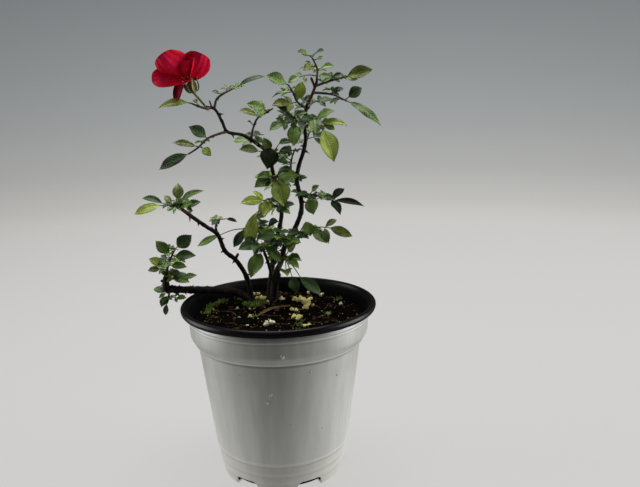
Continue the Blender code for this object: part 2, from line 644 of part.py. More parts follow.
def make_limb(limb, garden, rng):
    """A tapered cane or bough with thorns, cut level above the soil or clear of the limb it grows on."""
    knots = list(limb.knots)
    if limb.from_soil:
        x, y, _ = knots[0]
        knots[0] = (x, y, soil_height(x, y)[0] + GAP)
    fine = smooth_route(knots, FINE_STEP)
    if not limb.from_soil:
        fine = start_clear(fine, limb.root, garden.trees[CARRIER[limb.name]])
    foot = [fine[0]]
    if limb.from_soil:
        foot = thinned([p for p in fine if (p - fine[0]).length < FLARE_HEIGHT], FLARE_HEIGHT / 2)
    route = foot[:-1] + thinned(fine[fine.index(foot[-1]):], CANE_STEP)
    total = sum((b - a).length for a, b in zip(route, route[1:]))
    radii = []
    climbed = 0.0
    for i, point in enumerate(route):
        climbed += (point - route[i - 1]).length if i else 0.0
        radii.append(limb_radius(limb, climbed / total, climbed))
    body = new_object(limb.name, *tube(route, radii, CANE_SIDES, flat_start=limb.from_soil))
    thorns = []
    if limb.thorns:
        count = int((total - 2 * THORN_SPACING) / THORN_SPACING)
        for i in range(count):
            place = min(len(fine) - 2, int(len(fine) * (i + 1.0 + rng.uniform(-0.2, 0.2)) / (count + 1)))
            along = (fine[place + 1] - fine[place]).normalized()
            outward = turned(along.orthogonal().normalized(), along, GOLDEN_ANGLE * i + rng.uniform(-20, 20))
            base = fine[place] + outward * THORN_SEAT * limb_radius(limb, place / len(fine), FLARE_HEIGHT)
            points, faces = thorn(base, outward, along, THORN_LENGTH * rng.uniform(0.75, 1.1))
            if garden.is_clear(points, faces):
                thorns.append(new_object("thorn", points, faces))
    if thorns:
        boolean(body, thorns, "UNION")
        drop_scraps(body)
    garden.add(body, "bark")
    return fine


def blade_rings(base, along, normal, length, width, extra):
    """Cross-sections of a blade, and its tip: pointed, folded along its rib, and arching to the tip."""
    across = along.cross(normal).normalized()
    half = (length * width + extra) / 2
    thick = (BLADE_THICKNESS + extra) / 2

    def on_blade(share, side, lift):
        arch = BLADE_ARCH * length * share * (1 - share)
        return base + along * (length + extra) * share + across * side + normal * (arch + lift)

    rings = []
    for share, wide in BLADE_OUTLINE if length > SMALL_BLADE else SMALL_OUTLINE:
        edge = half * wide
        rib = -BLADE_FOLD * edge
        corners = ((-edge, 0.0), (0.0, rib + thick), (edge, 0.0), (0.0, rib - thick))
        rings.append([on_blade(share, side, lift) for side, lift in corners])
    return rings, on_blade(1.0, 0.0, 0.0)


def diamond(centre, across, lift):
    """Four points round a centre, in the order of a blade's cross-section."""
    return [centre - across, centre + lift, centre + across, centre - lift]


def blade(base, along, normal, length, width, extra=0.0):
    """Points and faces of one side blade, which grows out of a narrow foot sunk in its stalk."""
    reach = BLADE_FOOT + extra / 2
    foot = diamond(base, along.cross(normal).normalized() * reach, normal * reach)
    rings, tip = blade_rings(base, along, normal, length, width, extra)
    return skin([foot] + rings, tip)


def stalked_blade(route, end_blade, extra=0.0):
    """Points and faces of a leaf stalk that widens at its end into the end blade."""
    _, along, normal, length, width = end_blade
    reach = STALK_RADIUS + extra / 2
    rings = []
    for i, centre in enumerate(route):
        ahead = along if i == len(route) - 1 else (route[i + 1] - route[i]).normalized()
        behind = (route[i] - route[i - 1]).normalized() if i else ahead
        forward = (ahead + behind).normalized()
        across = forward.cross(normal)
        across = across.normalized() if across.length > 0.1 else forward.orthogonal().normalized()
        rings.append(diamond(centre, across * reach, across.cross(forward) * reach))
    outer, tip = blade_rings(route[-1], along, normal, length, width, extra)
    return skin(rings + outer, tip)


def blade_normal(along, face):
    """The blade's upper side: upward, leaning to the front by the face angle, square to its direction."""
    turn = math.radians(face)
    for wish in (Vector((0.0, -math.sin(turn), math.cos(turn))), STEEP_NORMAL):
        normal = wish - along * wish.dot(along)
        if normal.length > LEAST_NORMAL:
            return normal.normalized()
    return along.orthogonal().normalized()


def place_on(route, share):
    """The point at a share of the way along a route."""
    left = share * sum((b - a).length for a, b in zip(route, route[1:]))
    for a, b in zip(route, route[1:]):
        span = (b - a).length
        if left <= span:
            return a.lerp(b, left / span)
        left -= span
    return route[-1]


def leaf_plan(leaf, start, rng):
    """A compound leaf: its stalk's route, and each blade's base, direction, normal, length and width."""
    out = pointing(leaf.heading + rng.uniform(-2, 2), leaf.rise + rng.uniform(-1, 1))
    rise = Vector((0.0, 0.0, STALK_ARCH * leaf.stalk))
    places = (0.0, 0.5, 1.0) if leaf.stalk > LONG_STALK else (0.0, 1.0)
    route = [start + out * leaf.stalk * t + rise * t * (1 - t) for t in places]
    ahead = (route[-1] - route[-2]).normalized()
    level = ahead.cross(Vector((0, 0, 1)))
    level = level.normalized() if level.length > 0.1 else Vector((1, 0, 0))
    tip_way = turned(ahead, level, -leaf.nod)
    normal = blade_normal(tip_way, leaf.face + rng.uniform(-6, 6))
    blades = [(route[-1], tip_way, normal, leaf.blade, leaf.width)]
    for pair in range(leaf.leaflets // 2):
        root = place_on(route, END_PAIR - PAIR_SPACING * pair)
        for side in (-1, 1):
            way = turned(tip_way, normal, side * (PAIR_ANGLE + rng.uniform(-8, 8)))
            face = turned(normal, way, rng.uniform(-14, 14))
            size = leaf.blade * PAIR_SIZE * PAIR_TAPER**pair * rng.uniform(0.88, 1.06)
            blades.append((root, way, face, size, max(leaf.width, PAIR_WIDTH)))
    return route, blades


def round_mass(name, carrier, root, heading, rise, length, count):
    """A plain arching twig with one leaf at its tip and the others on alternate sides."""
    start = Vector(root)
    end = start + pointing(heading, rise) * length
    middle = (start + end) / 2 + Vector((0.0, 0.0, ROUND_ARCH))
    end_leaf = Leaf(ROUND_END, heading, rise - 10, ROUND_STALK / 2, 3, ROUND_BLADE, ROUND_NOD, 20)
    leaves = [end_leaf]
    for i in range(count - 1):
        turn = heading + ROUND_SPREAD * (-1) ** i + ROUND_DRIFT * (i - 1)
        at = ROUND_FIRST + (ROUND_LAST - ROUND_FIRST) * i / max(1, count - 2)
        leaves.append(Leaf(at, turn, ROUND_RISE, ROUND_STALK + 3 * (1 - at), 3, ROUND_BLADE, ROUND_NOD))
    return Mass(name, carrier, (tuple(start), tuple(middle), tuple(end)), tuple(leaves))


def make_mass(mass, garden, limb_routes, rng):
    """One mass of foliage as one solid: its twig, with each leaf and blade that is clear of the rest."""
    root = min(limb_routes[mass.carrier], key=lambda p: (p - Vector(mass.knots[0])).length)
    fine = smooth_route([root] + list(mass.knots[1:]), FINE_STEP / 2)
    fine = start_clear(fine, TWIG_RADIUS, garden.trees[mass.carrier])
    route = thinned(fine, TWIG_STEP)
    last = len(route) - 1
    radii = [TWIG_RADIUS + (TWIG_TIP - TWIG_RADIUS) * i / last for i in range(last + 1)]
    body = new_object(mass.name, *tube(route, radii, TWIG_SIDES))
    pieces = []
    for leaf in mass.leaves:
        stalk, blades = leaf_plan(leaf, place_on(route, leaf.at), rng)
        if not garden.is_clear(*stalked_blade(stalk, blades[0], 2 * GAP)):
            continue
        pieces.append(new_object("leaf", *stalked_blade(stalk, blades[0])))
        for row in blades[1:]:
            if garden.is_clear(*blade(*row, 2 * GAP)):
                pieces.append(new_object("blade", *blade(*row)))
    boolean(body, pieces, "UNION", "MANIFOLD")
    drop_scraps(body)
    garden.add(body, "leaf")


def aligned(axis):
    """Rotation that takes +Z to the axis."""
    return Vector((0, 0, 1)).rotation_difference(Vector(axis).normalized()).to_matrix()


def make_hip(garden):
    """The flower stalk, swelling into the hip, with five sepals under the petals."""
    route = smooth_route(FLOWER_STALK, FINE_STEP / 2)
    fine = start_clear(route, FLOWER_STALK_RADIUS, garden.trees["bloom_bough"])
    stalk = thinned(fine, FLOWER_STALK_STEP)
    foot = stalk[-1]
    axis = Vector(BLOOM_AXIS).normalized()
    route = stalk[:-1] + [foot + axis * height for height, _ in HIP]
    radii = [FLOWER_STALK_RADIUS] * (len(stalk) - 1) + [radius for _, radius in HIP]
    body = new_object("hip", *tube(route, radii, HIP_SIDES))
    top = foot + axis * (HIP[-1][0] - SEPAL_SINK)
    length, width, opening = SEPAL
    sepals = []
    for i in range(SEPAL_COUNT):
        out = aligned(axis) @ pointing(360 * i / SEPAL_COUNT, 90 - opening - SEPAL_DROOP * (i % 2))
        normal = (axis - out * axis.dot(out)).normalized()
        sepals.append(new_object("sepal", *blade(top, out, normal, length, width / length)))
    boolean(body, sepals, "UNION")
    drop_scraps(body)
    garden.add(body, "hip")
    return foot + axis * HIP[-1][0], axis


def petal_sheet(petal, seat, axis, thickness):
    """One cupped petal as a closed sheet: rows run from its narrow claw to its broad rounded end."""
    frame = aligned(axis)
    side = frame @ pointing(petal.heading + 90, 0)
    centre = seat
    row = 0.0
    upper = []
    lower = []
    for next_row in PETAL_ROWS:
        opening = petal.opening + petal.bend * ((row + next_row) / 2 - 0.5)
        out = frame @ pointing(petal.heading, 90 - opening)
        centre = centre + out * petal.length * (next_row - row)
        row = next_row
        across = turned(side, out, petal.turn)
        normal = across.cross(out)
        swell = math.sin(math.pi * (PETAL_START + (PETAL_END - PETAL_START) * row))
        half = petal.width / 2 * (PETAL_CLAW + (1 - PETAL_CLAW) * swell)
        for column in PETAL_COLUMNS:
            back = PETAL_ROUNDING * petal.length * row * column * column
            point = centre - out * back + across * half * column
            point -= normal * petal.cup * half * column * column
            upper.append(point + normal * thickness / 2)
            lower.append(point - normal * thickness / 2)
    rows = len(PETAL_ROWS)
    wide = len(PETAL_COLUMNS)
    points = upper + lower
    offset = len(upper)
    faces = []
    for i in range(rows - 1):
        for j in range(wide - 1):
            a, b, c, d = i * wide + j, i * wide + j + 1, (i + 1) * wide + j + 1, (i + 1) * wide + j
            faces.append((a, d, c, b))
            faces.append((a + offset, b + offset, c + offset, d + offset))
    border = list(range(wide)) + [i * wide + wide - 1 for i in range(1, rows)]
    border += [(rows - 1) * wide + j for j in reversed(range(wide - 1))]
    border += [i * wide for i in reversed(range(1, rows - 1))]
    for a, b in zip(border, border[1:] + border[:1]):
        faces.append((a, b, b + offset, a + offset))
    return points, faces


def make_bloom(garden, seat, axis):
    """The open flower: petals fused on a small round receptacle."""
    core = bmesh.new()
    bmesh.ops.create_icosphere(core, subdivisions=2, radius=RECEPTACLE)
    core.transform(Matrix.Translation(seat + axis * (RECEPTACLE + GAP)))
    mesh = bpy.data.meshes.new("bloom")
    core.to_mesh(mesh)
    core.free()
    body = bpy.data.objects.new("bloom", mesh)
    bpy.context.scene.collection.objects.link(body)
    petals = []
    for petal in PETALS:
        points, faces = petal_sheet(petal, seat + axis * (RECEPTACLE + GAP), axis, PETAL_THICKNESS)
        petals.append(new_object("petal", points, faces))
    boolean(body, petals, "UNION")
    drop_scraps(body)
    garden.add(body, "petal")


def main():
    clear_scene()
    garden = Garden()
    rng = random.Random(SEED)
    make_pot(garden)
    make_soil(garden)
    routes = {}
    for limb in LIMBS:
        routes[limb.name] = make_limb(limb, garden, rng)
    seat, axis = make_hip(garden)
    make_bloom(garden, seat, axis)
    for number, mass in enumerate(MASSES + tuple(round_mass(*row) for row in ROUND_TWIGS)):
        make_mass(mass, garden, routes, random.Random(SEED + number))


main()
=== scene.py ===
"""The looks of the potted miniature rose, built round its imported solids.

Shapes are worked out in millimetres, in the frame of the solids: the pot stands on z = 0 with its axis
on the Z axis, and -Y is the side that the bush shows to the front. Limbs, twigs and leaves grow by the
same rule as the solids, with the same seeds, and are carried on to bark, thorns, toothed leaflets,
stalks and buds.
"""

import json
import math
import random
from collections import namedtuple

import bpy
import numpy as np
from mathutils import Matrix, Vector, noise
from mathutils.bvhtree import BVHTree

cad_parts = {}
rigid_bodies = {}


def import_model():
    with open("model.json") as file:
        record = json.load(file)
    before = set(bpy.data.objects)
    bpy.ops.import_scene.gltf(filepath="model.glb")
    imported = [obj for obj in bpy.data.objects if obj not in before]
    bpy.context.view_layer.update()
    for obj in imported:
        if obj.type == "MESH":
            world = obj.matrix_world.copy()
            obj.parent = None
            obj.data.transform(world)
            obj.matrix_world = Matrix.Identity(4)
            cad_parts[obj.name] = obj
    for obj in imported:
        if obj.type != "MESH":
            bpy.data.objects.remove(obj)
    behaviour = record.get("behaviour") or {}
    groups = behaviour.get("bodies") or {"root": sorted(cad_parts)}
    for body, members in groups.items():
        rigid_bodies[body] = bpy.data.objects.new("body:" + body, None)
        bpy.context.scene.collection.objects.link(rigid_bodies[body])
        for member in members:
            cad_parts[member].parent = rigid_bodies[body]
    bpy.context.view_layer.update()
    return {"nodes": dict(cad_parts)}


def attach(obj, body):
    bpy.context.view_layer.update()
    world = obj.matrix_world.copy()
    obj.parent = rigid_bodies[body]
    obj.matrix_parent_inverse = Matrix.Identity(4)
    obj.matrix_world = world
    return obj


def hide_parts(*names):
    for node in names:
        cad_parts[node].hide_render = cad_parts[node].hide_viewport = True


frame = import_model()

MM = 0.001
SEED = 41
GAP = 0.3  # clear space that the solids leave between each other
BODY = "root"
UP = Vector((0.0, 0.0, 1.0))

# Camera: place in millimetres, and its turn to the right, tilt down and roll in radians
CAMERA_PLACE = (0.0, -450.9, 265.86)
CAMERA_YAW = 0.0725
CAMERA_PITCH = 0.191
CAMERA_ROLL = -0.0175
CAMERA_LENS = 33.75
SENSOR_WIDTH = 36.0
PICTURE_SIZE = (640, 487)  # of the photograph, in pixels
SOIL_CROP = (190.0, 280.0, 8.615)  # left and top of the enlarged view of the soil, in pixels, and its scale

# Stage: a round floor that sweeps up into a wall, in millimetres, and soft boxes round the plant
FLOOR_RADIUS = 1100.0
SWEEP_RADIUS = 900.0
WALL_TOP_HEIGHT = 2600.0
STAGE_SEGMENTS = 96
STAGE_STEPS = 12  # rings of the floor, and of the sweep
Lamp = namedtuple("Lamp", "name place target width height power")
LAMPS = (
    Lamp("soft_box_left", (-2160, 288, 226), (0, 0, 130), 1440, 2160, 46.0),
    Lamp("soft_box_right", (2160, 0, 226), (0, 0, 130), 1440, 2160, 60.5),
    Lamp("soft_box_top", (0, 150, 1150), (0, 0, 150), 900, 700, 10.0),
    Lamp("soft_box_front", (-250, -1300, 900), (0, 0, 200), 600, 500, 1.1),
    Lamp("table_glow", (0, 0, -22), (0, 0, 100), 300, 300, 0.13),
)
WORLD_TONE = (1.0, 0.99, 0.96)
WORLD_LOW = 0.12  # light that the pale table throws up from below
WORLD_HIGH = 0.05
WORLD_FADE = (-0.65, -0.05)
STAGE_PAPER = (0.1, 0.1, 0.097)
WALL_TONE = (0.12, 0.13, 0.14)
# The stage's glow is painted light on the backdrop, strongest at the floor and a little to the right of the
# plant.
STAGE_GLOW = 1.0
STAGE_BRIGHT_SIDE = 300.0  # how far to the right the wall and the floor are brightest
STAGE_DIM = (300.0, 2000.0, 0.35)  # distances to the side that they dim between, and how far
STAGE_TONES = (  # share of the wall's height, and the painted glow there
    (0.0, (0.535, 0.53, 0.52)), (0.006, (0.53, 0.525, 0.51)), (0.02, (0.46, 0.455, 0.44)),
    (0.05, (0.37, 0.372, 0.365)), (0.1, (0.3, 0.31, 0.31)), (0.17, (0.235, 0.252, 0.26)),
    (0.28, (0.165, 0.18, 0.19)), (0.45, (0.1, 0.115, 0.125)), (1.0, (0.04, 0.05, 0.055)),
)

# Pot: outlines are (radius, height) pairs, as in the solids, with finer rounds
POT_DARK = (0.42, 0.425, 0.395)
POT_LIGHT = (0.5, 0.505, 0.475)
POT_DUST = (0.53, 0.52, 0.47)
# painted highlight on the edges of the bead, the ledge and the foot's steps
POT_PAINTED_HIGHLIGHT = (0.78, 0.78, 0.74)
POT_STAIN = (0.47, 0.455, 0.385)
# painted shade in the lines under the bead, the ledge and the foot's steps, and under the brim
POT_PAINTED_SHADE = (0.07, 0.07, 0.065)
POT_PAINTED_BANDS = (  # height and half height of a ring round the pot, and how strong its painted highlight is, or below 0 its painted shadow
    (124.8, 0.5, 0.55), (122.9, 0.5, -0.3), (116.0, 9.0, -0.12), (107.4, 0.5, 0.5), (105.0, 1.0, -0.45),
    (98.0, 9.0, -0.08), (25.4, 0.8, 0.3), (22.4, 0.6, -0.4), (17.0, 0.8, 0.15), (14.0, 0.6, -0.35),
    (10.6, 0.8, 0.15), (6.3, 0.7, -0.35),
)
BRIM_SHADE = (125.3, 128.4, 0.6)  # heights that the painted shade under the brim starts and ends at, and its strength
FOOT_STAIN = 0.45
POT_HEIGHT = 135.0
THROAT_HEIGHTS = (POT_HEIGHT - 5, POT_HEIGHT - 2)  # the inside is dull below these and the lip glossy above
RIM_RADIUS = 75.0
POT_SEGMENTS = 160
FOOT_RADIUS = 47.0
FLOOR = 3.5
WALL = 1.8
SHELL = 0.9  # thickness of the pale outer skin; the rest of the wall is black
FOOT_STEPS = (
    (47.6, 0.5), (48.1, 1.6), (48.4, 5.4), (48.9, 6.9), (49.6, 8.6), (49.9, 10.6), (49.9, 13.0),
    (50.3, 14.4), (50.9, 15.8), (51.2, 17.6), (51.2, 21.4), (51.6, 22.6), (52.3, 23.8),
)
WALL_BOTTOM = (52.8, 25.4)
STAIN_HEIGHTS = (WALL_BOTTOM[1] - 12, WALL_BOTTOM[1] + 4)  # the foot's stain fades out between these
WALL_TOP = (62.8, 104.0)
LEDGE = (
    (63.1, 105.9), (64.6, 106.3), (65.2, 106.9), (65.5, 107.8), (66.3, 109.2), (67.3, 110.7),
    (68.1, 112.2), (68.5, 113.8),
)
BEAD_HEIGHT = 124.8
SKIRT_BEAD_RADIUS = 69.1
BEAD_DEPTH = 0.8
BEAD = ((0.0, -1.0), (BEAD_DEPTH, -0.45), (BEAD_DEPTH, 0.15), (0.1, 0.9))  # how far out and up
SKIRT_TOP = (68.9, 128.6)
LIP_ROUND = 2.2  # radius of the rolled lip
LIP_DROP = 3.2  # how far the lip reaches down from the middle of its roll
LIP_UNDER = 129.9
LIP_ROOT = 70.6  # where the pale skin ends under the lip
SEAM = (  # where the pale skin meets the black wall: a point outside, and how far in and down from it
    ((LIP_ROOT, LIP_UNDER), 0.0, -0.3), ((LIP_ROOT, LIP_UNDER), 1.2, 0.1), (SKIRT_TOP, SHELL, 0.8),
    (LEDGE[-1], SHELL, 0.0), (LEDGE[3], 1.6, 0.0), (WALL_TOP, SHELL, 0.0), (WALL_BOTTOM, SHELL, 0.0),
    ((FOOT_RADIUS, 0.0), SHELL, -1.6),
)
LIP_ARC = range(-115, 181, 15)  # degrees round the lip, from its underside up and over to the inside
THROAT = ((5.4, 3.4), (6.8, 5.0))  # how far in from the rim and down from the top the inside starts
INNER_NECK_RADIUS = 66.6
INNER_NECK_DROP = 8.0
LEDGE_HEIGHT = 106.0
LEDGE_INNER_RADIUS = 65.2
LEDGE_RISE = 6.0
SPLASHES = (  # column and row in the photograph, and size, of dried drops on the pot
    (271, 395, 1.2), (267.6, 403, 1.1), (283, 358, 1.2), (281, 356, 0.7), (310.5, 371, 0.7),
)
SCUFFS = ((336.7, 375, 0.5), (322, 428, 0.4), (290, 424, 0.35), (240, 375, 0.35))  # the same, in dark soil
SPLASH_LIFT = 0.4
DRAIN_COUNT = 6
DRAIN_FIRST_ANGLE = 233.5
DRAIN_SIZE = (20.0, 16.0, 16.0)
DRAIN_ROUNDING = 4.5

# Soil
SOIL_LEVEL = 123.0
SOIL_RADIUS = 66.0
MOUND_HEIGHT = 2.0
MOUND_CENTRE = (-12.0, 39.0)
MOUND_FLAT = 21.0
MOUND_FOOT = 36.0
SOIL_INSET = 0.1  # between the soil and the pot's inner face
PLUG_DROP = 5.0  # how far under its surface the soil first meets the pot's inner face
CLOD_PITCH = 0.11  # clods to the millimetre
CLOD_LAYER = 3.7
CLODS = ((1.0, 0.9), (3.1, 0.7), (8.3, 0.45))  # how much finer each kind of clod is, and how high
SOIL_SETTLE = 0.3
SOIL_MESH_RINGS = 110
SOIL_MESH_SEGMENTS = 256
SOIL_REACH = 62.0  # how far out bits lie
LUMP_ROWS = 6
LUMP_SIDES = 8
LUMP_TILT = 0.5
LUMP_BUMPS = 1.7
LUMP_WIDTH = 0.85
CRUMB_COUNT = 1500
CRUMB_REACH = 64.5
CRUMB_SIZE = (0.35, 1.0)
BIG_CRUMB = 1.9
BIG_SHARE = 0.14  # of the crumbs that are so many times bigger
BARK_CHIPS = 48
CHIP_SIZE = (0.9, 2.2)
RED_SIZE = (1.6, 2.6)
PERLITE_DUST = 170
DUST_SIZE = (0.25, 0.6)
FIBRE_COUNT = 130
FIBRE_LENGTH = (4, 15)
FIBRE_BEND = 40
FIBRE_LIFT = 0.3
FIBRE_REACH = 65
FIBRE_RADIUS = (0.1, 0.28)
SHOOT_RISE = (25, 85)
SHOOT_HEIGHT = (1.0, 3.4)
SHOOT_SECTIONS = ((0.0, 0.14), (0.4, 0.42), (0.75, 0.3), (1.0, 0.04))  # share of the height, half width
SHOOT_THICKNESS = 0.16
PERLITE = (  # column and row in the soil crop, size, number of grains and whether it is yellow
    (990, 198, 3.4, 7, 1), (1025, 165, 2.3, 2, 1), (975, 170, 2.3, 1, 1), (1000, 240, 2.6, 1, 1),
    (1040, 222, 2.0, 2, 1), (882, 165, 2.4, 2, 1), (920, 168, 2.2, 1, 1), (905, 265, 2.2, 2, 1),
    (920, 325, 3.0, 4, 1), (1003, 390, 1.9, 2, 1), (680, 380, 2.2, 3, 0), (493, 395, 1.8, 1, 0),
    (512, 248, 1.2, 1, 0), (408, 242, 1.4, 1, 0), (1300, 207, 1.8, 1, 0), (1198, 288, 1.8, 2, 1),
    (545, 310, 1.9, 2, 1), (493, 137, 2.1, 1, 0), (567, 122, 2.4, 2, 1), (600, 160, 2.6, 3, 1),
    (670, 190, 1.9, 1, 0), (805, 165, 2.3, 2, 0), (1022, 112, 2.0, 1, 0), (1145, 130, 2.0, 2, 0),
)
RED_BITS = (  # column and row in the soil crop
    (785, 116), (820, 113), (700, 155), (712, 163), (722, 215), (350, 235), (232, 270), (688, 148),
)
DRY_STRIP = ((575, 312), (700, 242), (860, 215))
STRIP_LIFTS = (1.0, 1.6, 1.0)
STRIP_WIDTH = 2.5
STRIP_THICKNESS = 1.0
MOSS = (  # column and row in the soil crop, spread and number of shoots
    (205, 182, 2.2, 70), (180, 222, 1.9, 80), (165, 255, 1.5, 40), (140, 280, 2.0, 40), (262, 172, 1.6, 30),
    (490, 210, 2.2, 70), (560, 215, 2.6, 120), (640, 195, 1.9, 100), (920, 325, 1.7, 50), (950, 385, 1.3, 30),
    (1198, 288, 1.2, 16), (1340, 145, 2.2, 45), (545, 310, 1.3, 24), (430, 165, 2.0, 40),
)

# Looks of the soil, of what lies on it and of the small parts of the bloom
Ground = namedtuple("Ground", "dark mid light scale roughness depth gloss", defaults=(0.5, 0.9, 0.5, 0.12))
GROUNDS = {
    "splashes": Ground((0.5, 0.5, 0.46), (0.65, 0.64, 0.6), (0.75, 0.74, 0.7), 0.8, 0.7, 0.1),
    "scuffs": Ground((0.03, 0.025, 0.02), (0.06, 0.05, 0.04), (0.1, 0.085, 0.07), 0.8, 0.7, 0.1),
    "soil": Ground((0.0008, 0.0006, 0.0005), (0.003, 0.002, 0.0014), (0.022, 0.014, 0.008), 0.55, gloss=0.02),
    "crumbs": Ground((0.001, 0.0008, 0.0006), (0.005, 0.0035, 0.002), (0.05, 0.032, 0.018), 0.6, gloss=0.03),
    "bark_chips": Ground((0.01, 0.006, 0.004), (0.07, 0.03, 0.018), (0.5, 0.29, 0.18), 0.4),
    "perlite_white": Ground((0.5, 0.42, 0.22), (0.85, 0.8, 0.58), (0.97, 0.95, 0.82), 0.5, 0.8, 0.3),
    "perlite_yellow": Ground((0.45, 0.36, 0.09), (0.86, 0.79, 0.32), (0.97, 0.94, 0.62), 0.5, 0.8, 0.3),
    "fibres": Ground((0.05, 0.035, 0.015), (0.16, 0.11, 0.05), (0.36, 0.28, 0.14), 0.35),
    "moss": Ground((0.018, 0.045, 0.005), (0.17, 0.28, 0.03), (0.85, 0.88, 0.4), 0.8),
    "receptacle": Ground((0.12, 0.004, 0.008), (0.3, 0.02, 0.015), (0.4, 0.08, 0.03), 0.8, 0.7, 0.1),
    "stamens": Ground((0.3, 0.14, 0.02), (0.6, 0.38, 0.06), (0.75, 0.6, 0.15), 0.8, 0.7, 0.1),
}

# Canes and thorns
TUBE_SEAM = Vector((0.31, -0.95, 0.1))
CANE_STEP = 0.9
CANE_SIDES = 14
ROOT_FLARE = 1.5
FLARE_HEIGHT = 7.0
THORN_HOOK = 0.4
THORN_CURVE = 1.8  # above 1 the hook is nearer the point
THORN_ROOT = 0.5  # how deep the thorn's root sits in the bark
NODE_SPACING = 13.0
GOLDEN_ANGLE = 137.5
FINE_STEP = 0.2
THORN_SECTIONS = (  # share of the length, half width across the cane, half height along it
    (0.0, 0.75, 1.9), (0.12, 0.62, 1.5), (0.3, 0.42, 0.95), (0.5, 0.28, 0.6), (0.75, 0.15, 0.3),
    (1.0, 0.03, 0.05),
)
THORN_SIDES = 8
NODE_SWELL = 0.16
NODE_LENGTH = 0.9
END_STEPS = ((0.35, 0.9), (0.62, 0.68), (0.8, 0.36))  # a cut end: how far on, and how wide, in radii
STUB_STEPS = ((0.0, 1.15), (0.4, 1.0), (0.8, 0.95), (1.0, 0.9))  # share of a stub's length, and radius
YOUNG_BLEND = 0.12  # share of a limb that old bark turns into young over
BARK_RELIEF = 0.16
GNARLED = {"low_bough": 1.22, "low_stub": 1.3}  # how much thicker the bark makes the oldest wood
SUNK = 1.5  # how far a cane reaches under the soil's surface

# Foliage
TWIG_RADIUS = 0.85
TWIG_TIP = 0.5
TWIG_STEP = 8.0
STALK_RADIUS = 0.42
STALK_ARCH = 0.3
LONG_STALK = 12.0
BLADE_ARCH = 0.3
STEEP_NORMAL = Vector((0.3, -0.5, 0.8))
LEAST_NORMAL = 0.25
END_PAIR = 0.72
PAIR_SPACING = 0.3
PAIR_ANGLE = 56.0
PAIR_SIZE = 0.69
PAIR_TAPER = 0.86
PAIR_WIDTH = 0.5
HEADING_PLAY = 2  # how far chance turns a leaf, tips it and rolls it, in degrees
RISE_PLAY = 1
FACE_PLAY = 6
PAIR_PLAY = 8  # how far chance turns a side leaflet and rolls it, in degrees
PAIR_TILT = 14
PAIR_SIZES = (0.88, 1.06)

Limb = namedtuple("Limb", "name knots root tip from_soil young")
Leaf = namedtuple(
    "Leaf", "at heading rise stalk leaflets blade nod face width tint", defaults=(10, 45, 0.64, "mid")
)
Mass = namedtuple("Mass", "name carrier knots leaves")
Petal = namedtuple("Petal", "heading opening bend length width cup turn shaded", defaults=(0.0,))
Seen = namedtuple("Seen", "column row")  # a point of the photograph, in pixels
Thorn = namedtuple("Thorn", "share heading rise length")
Stub = namedtuple("Stub", "limb share heading rise length radius")

# Each limb: knots of its centre line, radius at its root and at its tip, whether it stands in the soil,
# and the share of its length from which its wood is young and reddish.
LIMBS = (
    Limb(
        "cane_main",
        ((-3, 38, 0), (-1.5, 38, 146), (3, 36, 158), (7, 34, 173), (12, 32, 180), (19.5, 30, 197),
         (20.5, 30, 207), (17.5, 34, 223), (18.5, 34, 233), (23, 32, 247), (25, 31, 256), (24.5, 32, 268),
         (26, 34, 281), (31, 36, 291), (35, 36, 301)),
        2.5, 1.1, True, 0.94,
    ),
    Limb(
        "cane_back",
        ((-9, 46, 0), (-6, 48, 143), (-1, 50, 170), (4, 48, 192), (4, 46, 203), (-1, 44, 227)),
        2.2, 1.6, True, 2,
    ),
    Limb(
        "cane_left",
        ((-23, 42, 0), (-26, 40, 143), (-34, 34, 160), (-42, 28, 169), (-47, 20, 185), (-54, 16, 191),
         (-65, 10, 201), (-71, 6, 207)),
        2.1, 1.4, True, 0.95,
    ),
    Limb(
        "cane_inner",
        ((-9, 31, 0), (-7, 33, 139), (-6, 34, 148), (-8.5, 32, 160), (-10.5, 30, 166)),
        1.6, 1.2, True, 2,
    ),
    Limb(
        "low_bough",
        ((-26, 33, 0), (-28, 32.5, 129.5), (-38, 30, 135), (-55, 25, 138), (-67, 24, 138.9),
         (-80, 25, 139.4), (-90, 27, 139.5)),
        2.6, 2.3, True, 2,
    ),
    Limb("low_stub", ((-90.5, 27, 139.5), (-90.5, 26, 146), (-89.5, 26, 153)), 2.6, 1.3, False, 2),
    Limb(
        "bloom_bough",
        ((-1, 44, 227), (-5, 40, 246), (-13, 34, 253.5), (-24, 26, 261), (-35.5, 20, 264), (-39, 18, 272),
         (-44, 16, 281), (-50, 14, 282.5)),
        1.6, 1.0, False, 0.97,
    ),
)

